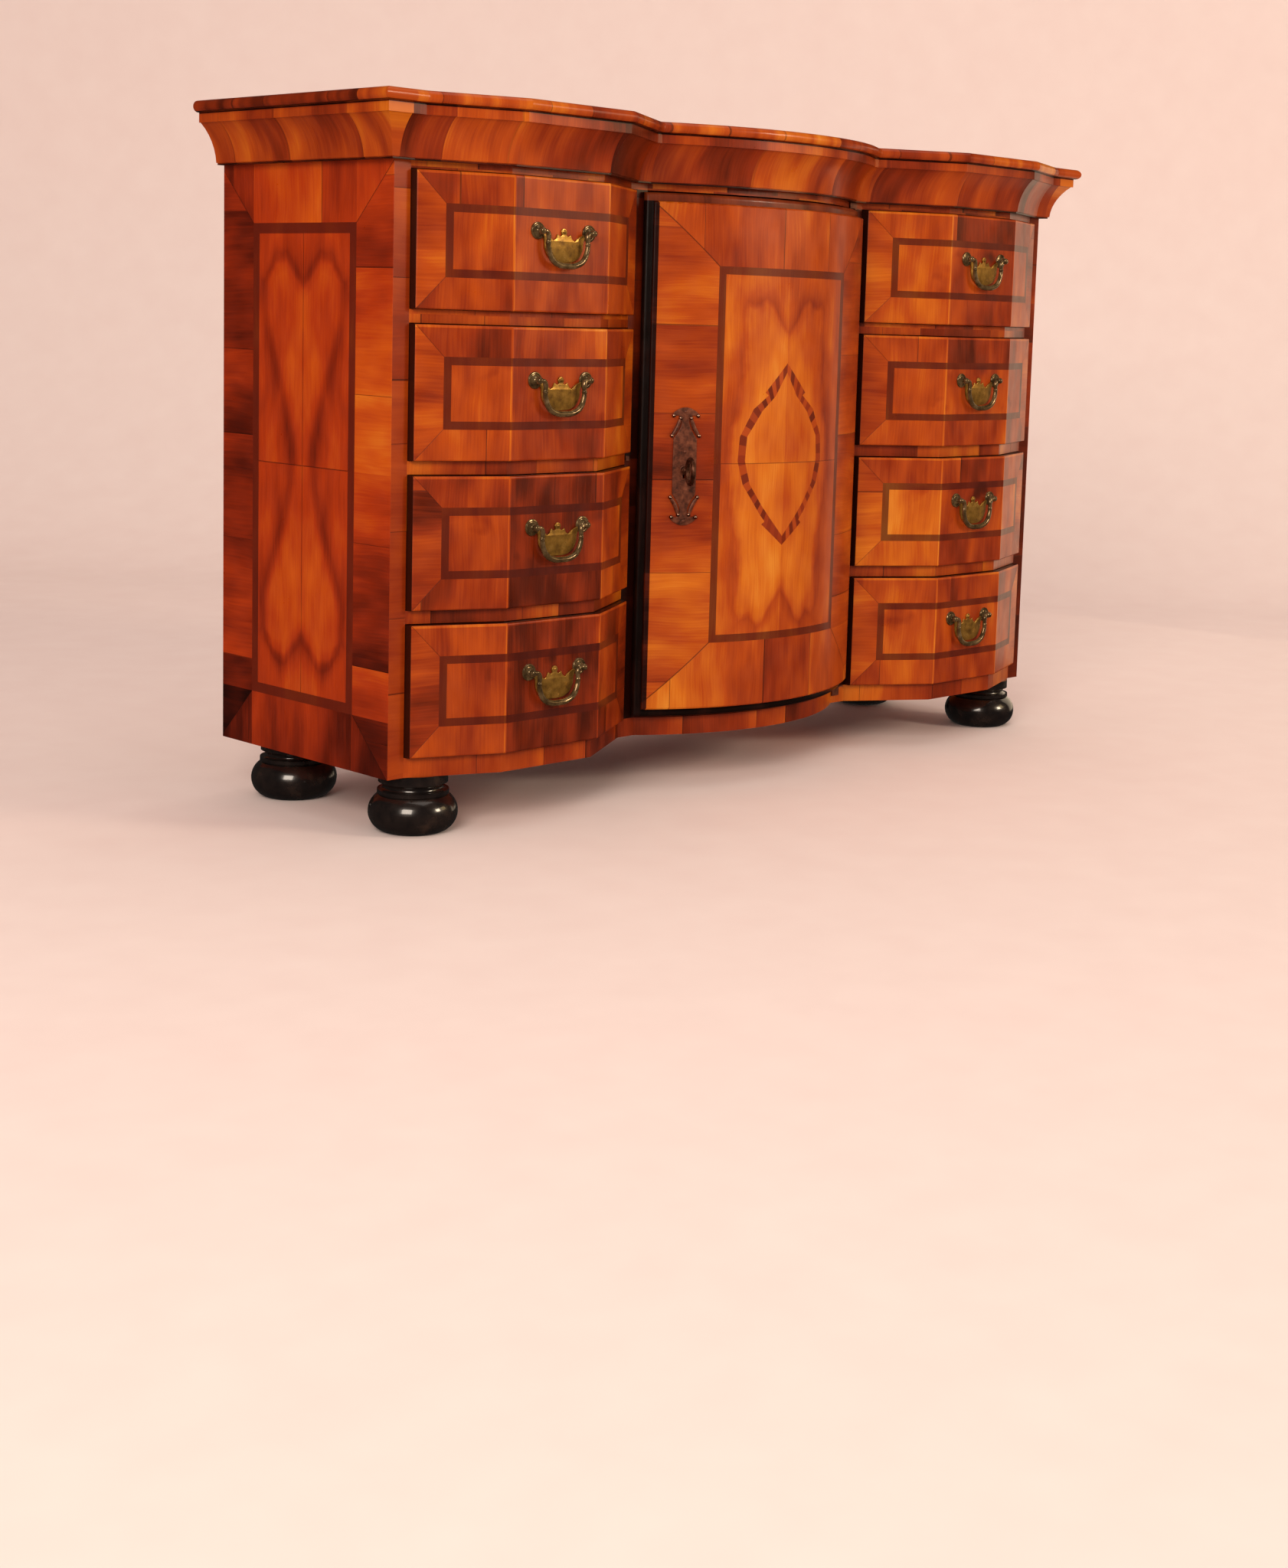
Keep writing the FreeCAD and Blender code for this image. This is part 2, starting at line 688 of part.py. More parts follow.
def bolt(throw, spare):
    """Lock bolt, thrown towards the left stile, with spare room all round."""
    middle = BOW_Y - BOLT_R
    low = KEY_Z + KEY_BIT_R + BIT_GAP
    head = -CASE_HEAD - BOLT_SHOWS - throw
    return at_lock(
        box(
            (head - spare, BOLT_TAIL - throw + spare),
            (middle - BOLT_T / 2 - spare, middle + BOLT_T / 2 + spare),
            (low - spare, low + BOLT_H + spare),
        )
    )


def keyway():
    """Round hole for the key's shank with the slot for its bit below."""
    hole = Part.makeCylinder(
        KEY_R + PIVOT_FIT, FAR, V(0, BOW_Y, KEY_Z), FORWARD
    )
    half = KEY_BIT_T / 2 + KEY_SLOT_GAP
    slot = box((-half, half), (BOW_Y - FAR, BOW_Y), (KEY_Z - KEY_BIT_R - KEY_SLOT_GAP, KEY_Z))
    return at_lock(hole.fuse(slot))


def door_panel():
    """Raised, bowed panel with softened edges, pierced by the keyway."""
    low = DOOR_LOW + MOULD_W
    high = DOOR_HIGH - MOULD_W
    panel = bow_sector(BOW_R, PANEL_R, -PANEL_ANGLE, PANEL_ANGLE, low, high)

    def shows(vertex):
        return PANEL_R - math.hypot(vertex.X, vertex.Y - BOW_Y) < DOOR_GAP

    edges = [e for e in panel.Edges if all(shows(v) for v in e.Vertexes)]
    return panel.makeFillet(PANEL_EDGE_R, edges).cut(keyway())


def rail_section(at):
    """Section of the door's bottom moulding, rounded like the door's ends."""
    soft = DOOR_END_R * (1 - math.sqrt(0.5))
    corners = [
        at(MOULD_R, DOOR_LOW + DOOR_END_R),
        at(MOULD_R, DOOR_LOW + MOULD_W),
        at(BOW_R, DOOR_LOW + MOULD_W),
        at(BOW_R, DOOR_LOW),
        at(MOULD_R - DOOR_END_R, DOOR_LOW),
    ]
    round_edge = arc(corners[-1], at(MOULD_R - soft, DOOR_LOW + soft), corners[0])
    return Part.Face(Part.Wire([line(a, b) for a, b in zip(corners, corners[1:])] + [round_edge]))


def door_moulding():
    """Four mitred lengths round the panel. The right-hand ends turn on the pivot pins."""
    behind = beyond(V(0, INNER_SETBACK - DOOR_GAP, 0), V(0, 1, 0))
    pivot = V(PIVOT_X, PIVOT_Y, DOOR_LOW)
    end = Part.makeCylinder(DOOR_END_R, DOOR_HIGH - DOOR_LOW, pivot)
    whole = bow_sector(BOW_R, MOULD_R, -END_ANGLE, END_ANGLE, DOOR_LOW, DOOR_HIGH)
    whole = whole.fuse(end).fuse(mirrored(end)).cut(behind)
    upright = bow_sector(BOW_R, MOULD_R, PANEL_ANGLE, END_ANGLE, DOOR_LOW, DOOR_HIGH)
    upright = upright.fuse(end).cut(behind)

    reach = END_ANGLE + MOULD_W / MOULD_R
    axis = on_bow(0, 0)
    ray = on_bow(1, -reach) - axis
    face = rail_section(lambda radius, height: axis + ray * radius + V(0, 0, height))
    rail = face.revolve(axis, UP, math.degrees(2 * reach)).common(whole)

    across = V(math.cos(END_ANGLE), math.sin(END_ANGLE), 0)
    corner = pivot + across * DOOR_END_R
    mitre = (across + UP).normalize()
    rail = rail.cut(beyond(corner, mitre)).cut(mirrored(beyond(corner, mitre)))
    below = beyond(corner, mitre * -1)
    upright = upright.cut(below).cut(upside_down(below))

    hole_foot = pivot - UP * PINTLE_GAP
    hole = Part.makeCylinder(PIN_R + PIVOT_FIT, PIN_LENGTH + PINTLE_GAP, hole_foot)
    hung = upright.cut(hole).cut(upside_down(hole)).removeSplitter()
    rail = rail.cut(hole).removeSplitter()
    return [hung, mirrored(upright.removeSplitter()), rail, upside_down(rail)]


def upside_down(shape):
    """The same piece at the other end of the door's height."""
    return shape.mirror(V(0, 0, (DOOR_LOW + DOOR_HIGH) / 2), UP)


def lock_plate():
    """Pierced iron plate bent to the bow: waisted body, crescents, horns and ball tips."""
    centre = KEY_Z + PLATE_RISE
    crescent = LOCK_PLATE_H / 2 - CRESCENT_R
    foot = crescent + CRESCENT_CUT
    body_w = LOCK_PLATE_W / 2
    waist = LOCK_WAIST_W / 2
    front = BOW_Y - PANEL_R - LOCK_PLATE_T
    room = V(0, BOW_RISE, 0)

    def at(x, z):
        return V(x, front - DOOR_T, centre + z)

    half_body = [at(waist, foot + waist), at(body_w, LOCK_SHOULDER)]
    half_body += [at(body_w, -LOCK_SHOULDER), at(waist, -foot - waist)]
    body = half_body + [V(-p.x, p.y, p.z) for p in reversed(half_body)]
    shape = polygon(body).extrude(room)
    tips = []
    for end in (-1, 1):
        disc = Part.makeCylinder(CRESCENT_R, BOW_RISE, at(0, end * crescent), V(0, 1, 0))
        cut = sorted((centre, centre + end * foot))
        keep_out = box((-CRESCENT_R, CRESCENT_R), (front - BOW_RISE, front + BOW_RISE), cut)
        shape = shape.fuse(disc.cut(keep_out))
        chord = math.sqrt(CRESCENT_R ** 2 - CRESCENT_CUT ** 2) - LOCK_BALL_R / 2
        for side in (-1, 1):
            horn = [
                at(0, end * foot),
                at(side * waist, end * (foot + HORN_W / 2)),
                at(side * HORN_SPREAD, end * LOCK_SHOULDER),
                at(side * (HORN_SPREAD - HORN_W), end * LOCK_SHOULDER),
            ]
            shape = shape.fuse(polygon(horn).extrude(room))
            tips.append((side * HORN_SPREAD, end * LOCK_SHOULDER))
            tips.append((side * chord, end * foot))
            tips.append((side * chord / 2, end * foot))
    shell = bow_sector(
        PANEL_R, PANEL_R + LOCK_PLATE_T, -END_ANGLE, END_ANGLE, DOOR_LOW, DOOR_HIGH
    )
    shape = shape.common(shell)
    door_body = Part.makeCylinder(PANEL_R, BODY_H, V(0, BOW_Y, 0))
    nails = [(0, end * (crescent + CRESCENT_R / 2)) for end in (-1, 1)]
    for radius, places in ((LOCK_BALL_R, tips), (NAIL_R, nails)):
        for x, z in places:
            skin = BOW_Y - math.sqrt((PANEL_R + LOCK_PLATE_T) ** 2 - x ** 2)
            ball = Part.makeSphere(radius, V(x, skin, centre + z), FORWARD)
            shape = shape.fuse(ball.cut(door_body))
    return at_lock(shape.removeSplitter()).cut(keyway())


def lock_case():
    """Iron case behind the door, open towards it, with a slot for the bolt."""
    back = BOW_Y - BOW_R + CASE_DEPTH
    low = KEY_Z - CASE_BELOW
    high = KEY_Z + CASE_ABOVE
    depth = (BOW_Y - PANEL_R, back)
    room = (depth[0], back - CASE_T)
    shell = box((-CASE_HEAD, CASE_TAIL), depth, (low, high))
    inside = box((CASE_T - CASE_HEAD, CASE_TAIL - CASE_T), room, (low + CASE_T, high - CASE_T))
    fit = Part.makeCylinder(BOW_R - CASE_FIT, BODY_H, V(0, BOW_Y, 0))
    return at_lock(shell.cut(inside).common(fit)).cut(bolt(0, BOLT_GAP))


def key():
    """Key with a ring bow, collar, shank and bit."""
    ring = PANEL_R + LOCK_PLATE_T + BOW_STAND
    tip = BOW_R - KEY_BIT_BACK - KEY_BIT_L
    middle = V(0, BOW_Y - ring, KEY_Z)
    bow = Part.makeTorus(BOW_RING_R, BOW_WIRE_R, middle, V(1, 0, 0))
    shank_foot = V(0, BOW_Y - tip, KEY_Z)
    shank = Part.makeCylinder(KEY_R, ring - BOW_RING_R - tip, shank_foot, FORWARD)
    collar_foot = V(0, BOW_Y - ring + BOW_RING_R + BOW_WIRE_R, KEY_Z)
    collar = Part.makeCylinder(KEY_COLLAR_R, BOW_WIRE_R, collar_foot, FORWARD)
    half = KEY_BIT_T / 2
    bit_y = BOW_Y - tip
    bit = box((-half, half), (bit_y - KEY_BIT_L, bit_y), (KEY_Z - KEY_BIT_R, KEY_Z))
    return at_lock(bow.fuse(shank).fuse(collar).fuse(bit).removeSplitter())


def ironwork():
    """Pintle plates that carry the door, the bolt's keeper and the stile studs."""
    across = (BOW_HALF + DOOR_GAP, BOW_HALF + DOOR_GAP + PINTLE_W)
    reach = (PIVOT_Y - 2 * PIN_R, INNER_SETBACK)
    leg_run = (INNER_SETBACK - PINTLE_LEG_T, INNER_SETBACK)
    low = BASE_T + PINTLE_SEAT
    high = HEAD_Z - PINTLE_SEAT
    tongue = box(across, reach, (low, low + PINTLE_T))
    leg = box(across, leg_run, (BASE_T - PINTLE_LEG, low))
    pin = Part.makeCylinder(PIN_R, PIN_LENGTH, V(PIVOT_X, PIVOT_Y, low + PINTLE_T))
    top_leg = box(across, leg_run, (high, BODY_H - PINTLE_GAP))
    lower = tongue.fuse(leg).fuse(pin).removeSplitter()
    upper = upside_down(tongue.fuse(pin)).fuse(top_leg).removeSplitter()

    hole = bolt(BOLT_THROW, MORTISE_GAP)
    heights = (hole.BoundBox.ZMin - KEEPER_RIM, hole.BoundBox.ZMax + KEEPER_RIM)
    keeper_run = (INNER_SETBACK, INNER_SETBACK + STILE_T)
    keeper = box((-BOW_HALF, KEEPER_T - BOW_HALF), keeper_run, heights).cut(hole)

    stud_x = BOW_HALF + INNER_STILE_W - STUD_W - SIDE_GAP
    stud_run = (INNER_SETBACK - STUD_T, INNER_SETBACK)
    stud_z = row_floor(ROWS // 2 - 1) - (DIVIDER_T + STUD_W) / 2
    stud = box((-stud_x - STUD_W, -stud_x), stud_run, (stud_z, stud_z + STUD_W))
    return {
        "pintle_plates": [lower, upper],
        "lock_keeper": [keeper],
        "stile_studs": pair(stud),
    }


def door():
    """Door with its moulding, lock plate, lock case, bolt and key."""
    return {
        "door_panel": [door_panel()],
        "door_moulding": door_moulding(),
        "lock_plate": [lock_plate()],
        "lock_case": [lock_case()],
        "lock_bolt": [bolt(0, 0)],
        "key": [key()],
    }


def write(nodes):
    """Write each node, moved to the middle of the overall box and onto its feet."""
    os.makedirs("parts", exist_ok=True)
    reach = max(SWELL, BOW_RISE - INNER_SETBACK) + TOP_NOSE_REACH
    place = V(0, (reach - BODY_D) / 2, FOOT_H)
    for name, solids in nodes.items():
        moved = [solid.translated(place) for solid in solids]
        shape = moved[0] if len(moved) == 1 else Part.makeCompound(moved)
        shape.exportStep(f"parts/{name}.step")
        print(name, len(moved), shape.isValid(), round(shape.Volume))


write({**carcass(), **cornice(), **feet(), **drawers(), **door(), **ironwork()})
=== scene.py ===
import json
import logging
import math
from dataclasses import dataclass
from enum import Enum
from typing import Any, Callable, Sequence

import bpy
from mathutils import Matrix, Vector


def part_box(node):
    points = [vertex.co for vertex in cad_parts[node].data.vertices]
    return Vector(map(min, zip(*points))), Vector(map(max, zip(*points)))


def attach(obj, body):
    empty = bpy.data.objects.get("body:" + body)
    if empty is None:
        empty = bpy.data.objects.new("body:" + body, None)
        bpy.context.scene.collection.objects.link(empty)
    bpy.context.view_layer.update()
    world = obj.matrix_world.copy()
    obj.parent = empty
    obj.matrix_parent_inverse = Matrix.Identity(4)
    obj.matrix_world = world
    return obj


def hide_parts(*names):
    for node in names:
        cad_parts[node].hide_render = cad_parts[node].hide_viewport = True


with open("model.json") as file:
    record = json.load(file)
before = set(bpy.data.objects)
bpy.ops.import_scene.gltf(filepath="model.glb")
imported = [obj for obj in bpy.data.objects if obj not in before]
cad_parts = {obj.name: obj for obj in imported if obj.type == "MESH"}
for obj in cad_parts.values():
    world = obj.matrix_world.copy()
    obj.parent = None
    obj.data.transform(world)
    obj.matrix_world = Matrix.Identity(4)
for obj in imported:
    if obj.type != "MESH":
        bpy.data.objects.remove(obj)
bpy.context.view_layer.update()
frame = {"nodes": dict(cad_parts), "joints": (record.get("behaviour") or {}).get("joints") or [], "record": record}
LOG = logging.getLogger("cabinet")
MM = 0.001
SMOOTH_ANGLE = math.radians(38)
Socket = bpy.types.NodeSocket
Tree = bpy.types.NodeTree
Piece = bpy.types.Object
Look = tuple[Socket, Socket, Socket]
Stops = Sequence[tuple[float, Any]]
Profile = Sequence[tuple[float, float]]
Route = Sequence[tuple[float, float, float]]
Outline = Sequence[tuple[float, float, bool]]

# The finishes are described from the plane of the outer stiles and the underside of the carcass, in
# millimetres; this is where that point lies in the row frame.
ORIGIN_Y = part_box("front_stiles")[0][1] / MM
ORIGIN_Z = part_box("base_board")[0][2] / MM


def linear(code: str) -> tuple[float, float, float, float]:
    """Turn an sRGB hex colour into the linear values that a shader takes.

    Args:
        code: colour such as "#a8440f".

    Returns:
        Linear red, green and blue, and an alpha of one.
    """
    parts = [int(code[i : i + 2], 16) / 255 for i in (1, 3, 5)]
    red, green, blue = [c / 12.92 if c <= 0.04045 else ((c + 0.055) / 1.055) ** 2.4 for c in parts]
    return red, green, blue, 1.0


def add(
    tree: Tree,
    kind: str,
    *values: Any,
    out: int | str = 0,
    stops: Stops = (),
    sockets: dict[str, Any] | None = None,
    **settings: Any,
) -> Socket | None:
    """Add one node with its settings and links.

    Args:
        tree: material's node tree.
        kind: node type without its prefix, or a Math operation in capitals.
        values: sockets or plain values for the inputs in order; None leaves an input alone.
        out: output to return.
        stops: places and tones of a colour ramp.
        sockets: sockets or plain values for inputs by name.
        settings: properties of the node.

    Returns:
        The chosen output socket, or None for a node that has none.
    """
    if kind.isupper():
        kind, settings["operation"] = "Math", kind
    node = tree.nodes.new("ShaderNode" + kind)
    for name, value in settings.items():
        setattr(node, name, value)
    for n, (place, tone) in enumerate(stops):
        points = node.color_ramp.elements
        point = points[n] if n < 2 else points.new(place)
        point.position = place
        point.color = linear(tone) if isinstance(tone, str) else (tone, tone, tone, 1.0)
    pairs = list(zip(node.inputs, values)) + [(node.inputs[k], v) for k, v in (sockets or {}).items()]
    for socket, value in pairs:
        if isinstance(value, Socket):
            tree.links.new(value, socket)
        elif value is not None:
            socket.default_value = value
    return node.outputs[out] if node.outputs else None


def select_where(piece: Piece, wanted: Callable[[Vector], bool]) -> None:
    """Select, in edit mode, the points whose place is wanted and nothing else.

    Args:
        piece: mesh that is being edited.
        wanted: test of a point's place.
    """
    bpy.ops.mesh.select_mode(type="VERT")
    bpy.ops.mesh.select_all(action="DESELECT")
    bpy.ops.object.mode_set(mode="OBJECT")
    for point in piece.data.vertices:
        point.select = wanted(point.co)
    bpy.ops.object.mode_set(mode="EDIT")


def turned(profile: Profile, steps: int = 28) -> Piece:
    """Turn a piece about the line that points at the viewer.

    Args:
        profile: radius and distance towards the viewer of each corner, in millimetres.
        steps: facets round the piece.

    Returns:
        The turned piece, with the line through its origin.
    """
    bpy.ops.object.select_all(action="DESELECT")
    bpy.ops.mesh.primitive_plane_add(size=MM)
    piece = bpy.context.object
    bpy.ops.object.mode_set(mode="EDIT")
    bpy.ops.mesh.merge(type="CENTER")
    radius, reach = profile[0]
    bpy.ops.transform.translate(value=(radius * MM, -reach * MM, 0))
    for (r0, d0), (r1, d1) in zip(profile, profile[1:]):
        step = ((r1 - r0) * MM, (d0 - d1) * MM, 0)
        bpy.ops.mesh.extrude_vertices_move(TRANSFORM_OT_translate={"value": step})
    bpy.ops.mesh.select_all(action="SELECT")
    bpy.ops.mesh.spin(steps=steps, angle=2 * math.pi, center=(0, 0, 0), axis=(0, 1, 0))
    close_up()
    return piece


def close_up(merge: float = 0.002) -> None:
    """Merge doubled points of the mesh in edit mode, turn its faces outwards and leave edit mode.

    Args:
        merge: millimetres within which points are doubled.
    """
    bpy.ops.mesh.select_all(action="SELECT")
    bpy.ops.mesh.remove_doubles(threshold=merge * MM)
    bpy.ops.mesh.normals_make_consistent(inside=False)
    bpy.ops.object.mode_set(mode="OBJECT")


def drawn(points: Route, radii: Sequence[float], closed: bool = False) -> Piece:
    """Draw a rod along a smooth line.

    Args:
        points: X, distance towards the viewer and Z of each point, in millimetres.
        radii: radius of the rod at each point, in millimetres.
        closed: whether the rod is a ring.

    Returns:
        The rod as a mesh.
    """
    bpy.ops.object.select_all(action="DESELECT")
    bpy.ops.curve.primitive_bezier_curve_add(radius=MM)
    rod = bpy.context.object
    rod.data.bevel_depth = MM
    rod.data.bevel_resolution = 4
    rod.data.resolution_u = 6
    rod.data.use_fill_caps = True
    spline = rod.data.splines[0]
    spline.use_cyclic_u = closed
    spline.bezier_points.add(len(points) - 2)
    for knot, (x, reach, z), radius in zip(spline.bezier_points, points, radii):
        knot.co = (x * MM, -reach * MM, z * MM)
        knot.radius = radius
        knot.handle_left_type = knot.handle_right_type = "AUTO"
    bpy.ops.object.convert(target="MESH")
    bpy.ops.object.mode_set(mode="EDIT")
    close_up()
    return bpy.context.object


def sawn(outlines: Sequence[Outline], thickness: float, soft: float) -> Piece:
    """Saw a plate to an outline and soften its edges.

    Args:
        outlines: outer line and any holes; X, Z and whether the line turns a sharp corner there.
        thickness: millimetres from the back of the plate, at the origin, to its face.
        soft: radius of the softened edges in millimetres.

    Returns:
        The plate as a mesh, facing the viewer.
    """
    bpy.ops.object.select_all(action="DESELECT")
    bpy.ops.curve.primitive_bezier_circle_add(radius=MM)
    plate = bpy.context.object
    data = plate.data
    data.dimensions = "2D"
    data.fill_mode = "BOTH"
    data.extrude = (thickness / 2 - soft) * MM
    data.bevel_depth = soft * MM
    data.bevel_resolution = 2
    data.offset = -soft * MM
    data.resolution_u = 8
    data.splines.clear()
    for outline in outlines:
        spline = data.splines.new("BEZIER")
        spline.use_cyclic_u = True
        spline.bezier_points.add(len(outline) - 1)
        for knot, (x, z, sharp) in zip(spline.bezier_points, outline):
            knot.co = (x * MM, z * MM, 0)
            knot.handle_left_type = knot.handle_right_type = "VECTOR" if sharp else "AUTO"
    bpy.ops.object.convert(target="MESH")
    plate = bpy.context.object
    plate.rotation_euler.x = math.pi / 2
    plate.location.y = -thickness / 2 * MM
    bpy.ops.object.transform_apply()
    bpy.ops.object.mode_set(mode="EDIT")
    close_up()
    return plate


def both_sides(half: Outline) -> Outline:
    """Close a right half of an outline, given from top to bottom, with its reflection."""
    left = [(-x, z, sharp) for x, z, sharp in reversed(half) if x > 0]
    return list(half) + left


def choose(*pieces: Piece) -> None:
    """Select some pieces and nothing else, the first of them as the active one.

    Args:
        pieces: what to select.
    """
    bpy.ops.object.select_all(action="DESELECT")
    for piece in pieces:
        piece.select_set(True)
    bpy.context.view_layer.objects.active = pieces[0]


def put(piece: Piece, place: Matrix) -> Piece:
    """Move a piece and keep its place in its mesh.

    Args:
        piece: piece at the origin.
        place: where it goes.

    Returns:
        The piece.
    """
    choose(piece)
    piece.matrix_world = place @ piece.matrix_world
    bpy.ops.object.transform_apply()
    return piece


def copied(piece: Piece, place: Matrix) -> Piece:
    """Copy a piece, mesh and all, to another place.

    Args:
        piece: piece to copy.
        place: where the copy goes.

    Returns:
        The copy.
    """
    choose(piece)
    bpy.ops.object.duplicate(linked=False)
    return put(bpy.context.object, place)


def joined(name: str, pieces: Sequence[Piece]) -> Piece:
    """Make one piece of several and smooth its round faces.

    Args:
        name: name of the new piece.
        pieces: what it is made of; each keeps its own finish.

    Returns:
        The joined piece.
    """
    choose(*pieces)
    bpy.ops.object.join()
    whole = bpy.context.object
    whole.name = name
    bpy.ops.object.shade_smooth_by_angle(angle=SMOOTH_ANGLE)
    return whole


def finished(piece: Piece, finish: "Finish") -> Piece:
    """Give a piece its finish.

    Args:
        piece: any mesh.
        finish: finish that it takes.

    Returns:
        The piece.
    """
    piece.data.materials.clear()
    piece.data.materials.append(finish.material())
    return piece


def fitted(piece: Piece, node: str) -> None:
    """Let a piece stand for a solid and move with the solid's body.

    Args:
        piece: finished piece in its place.
        node: name of the solid.
    """
    piece.name = node + "_shown"
    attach(piece, body_of(node))
    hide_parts(node)
    LOG.info("piece %s", piece.name)


def body_of(node: str) -> str:
    """Name of the body that a solid belongs to."""
    bodies = frame["record"]["behaviour"]["bodies"]
    return next(body for body, nodes in bodies.items() if node in nodes)


def joint_of(node: str) -> dict[str, Any]:
    """The record's joint that moves a solid."""
    return next(joint for joint in frame["joints"] if joint["child"] == body_of(node))


def within(tree: Tree, u: Socket, half_w: float, v: Socket, half_h: float) -> Socket:
    """Mask of a rectangle about the middle of a face.

    Args:
        tree: material's node tree.
        u: millimetres across the face from its middle.
        half_w: half width of the rectangle.
        v: millimetres up the face from its middle.
        half_h: half height of the rectangle.

    Returns:
        One inside the rectangle and zero outside it.
    """
    beside = add(tree, "LESS_THAN", add(tree, "ABSOLUTE", u), half_w)
    return add(tree, "MULTIPLY", beside, add(tree, "LESS_THAN", add(tree, "ABSOLUTE", v), half_h))


def between(tree: Tree, place: Socket, low: float, high: float) -> Socket:
    """Mask of a stretch: one between two places and zero beyond them."""
    return add(tree, "MULTIPLY", add(tree, "GREATER_THAN", place, low), add(tree, "LESS_THAN", place, high))


def shaded(tree: Tree, tone: Socket, *changes: tuple[Socket, float]) -> Socket:
    """Make some places of the wood lighter or darker.

    Args:
        tree: material's node tree.
        tone: tone before the changes.
        changes: mask of each place, and how much lighter the wood is there.

    Returns:
        Tone after all the changes.
    """
    for mask, lighter in changes:
        tone = add(tree, "MULTIPLY_ADD", mask, lighter, tone)
    return tone


class Finish:
    """A surface finish that makes its material once."""

    name = ""
    coat = 0.0
    coat_roughness = 0.1
    metallic = 0.0
    ior = 1.5
    gloss = 0.5

    def shade(self, tree: Tree) -> Look:
        """Draw the finish as nodes.

        Args:
            tree: material's node tree.

        Returns:
            Colour, roughness and height in millimetres.
        """
        raise NotImplementedError

    def spot(self, tree: Tree) -> Socket:
        """Place in millimetres from the plane of the outer stiles and the underside of the carcass."""
        point = add(tree, "TexCoord", out="Object")
        return add(tree, "Mapping", point, (0, -ORIGIN_Y, -ORIGIN_Z), None, (1 / MM, 1 / MM, 1 / MM))

    def places(self, tree: Tree) -> list[Socket]:
        """X, Y and Z of that place, each by itself."""
        return list(add(tree, "SeparateXYZ", self.spot(tree)).node.outputs)

    def material(self) -> bpy.types.Material:
        """The material of this finish, made the first time it is asked for.

        Returns:
            The material.
        """
        made = bpy.data.materials.get(self.name)
        if made:
            return made
        made = bpy.data.materials.new(self.name)
        made.use_nodes = True
        tree = made.node_tree
        tree.nodes.clear()
        colour, roughness, height = self.shade(tree)
        normal = add(tree, "Bump", sockets={"Strength": 1.0, "Distance": MM, "Height": height})
        surface = add(
            tree,
            "BsdfPrincipled",
            sockets={
                "Base Color": colour,
                "Roughness": roughness,
                "Normal": normal,
                "Metallic": self.metallic,
                "IOR": self.ior,
                "Specular IOR Level": self.gloss,
                "Coat Weight": self.coat,
                "Coat Roughness": self.coat_roughness,
            },
        )
        add(tree, "OutputMaterial", surface)
        LOG.info("finish %s", self.name)
        return made


@dataclass(frozen=True)
class Inlay:
    """A veneered face with an inlaid dark band, in mm: half sizes, the band's width and the leaves."""

    half_w: float
    half_h: float
    band_w: float
    band_h: float
    string_w: float
    string_h: float
    leaf_w: float
    leaf_h: float

    @property
    def centre_w(self) -> float:
        """Half width inside the band."""
        return self.band_w - self.string_w

    @property
    def centre_h(self) -> float:
        """Half height inside the band."""
        return self.band_h - self.string_h


@dataclass(frozen=True)
class Figure:
    """A figure in the veneer, reflected at an upright and a level joint. Lengths are in millimetres.

    Its outline is given by half widths, as shares of reach by shares of height, and by the height of its
    head, as shares of height by shares of reach. Edge says how dark the wood is across the outline, from
    half a fade inside it to half a fade outside it.
    """

    reach: float
    height: float
    widths: Stops
    tops: Stops
    blur_w: float
    waver_aside: float
    waver_up: float
    lower_drop: float
    fade: float
    edge: Stops
    depth: float


@dataclass(frozen=True)
class Streak:
    """Streaks of the grain: width and length in millimetres, share of finer streaks and how fine they go."""

    width: float
    length: float
    mix: float
    detail: float


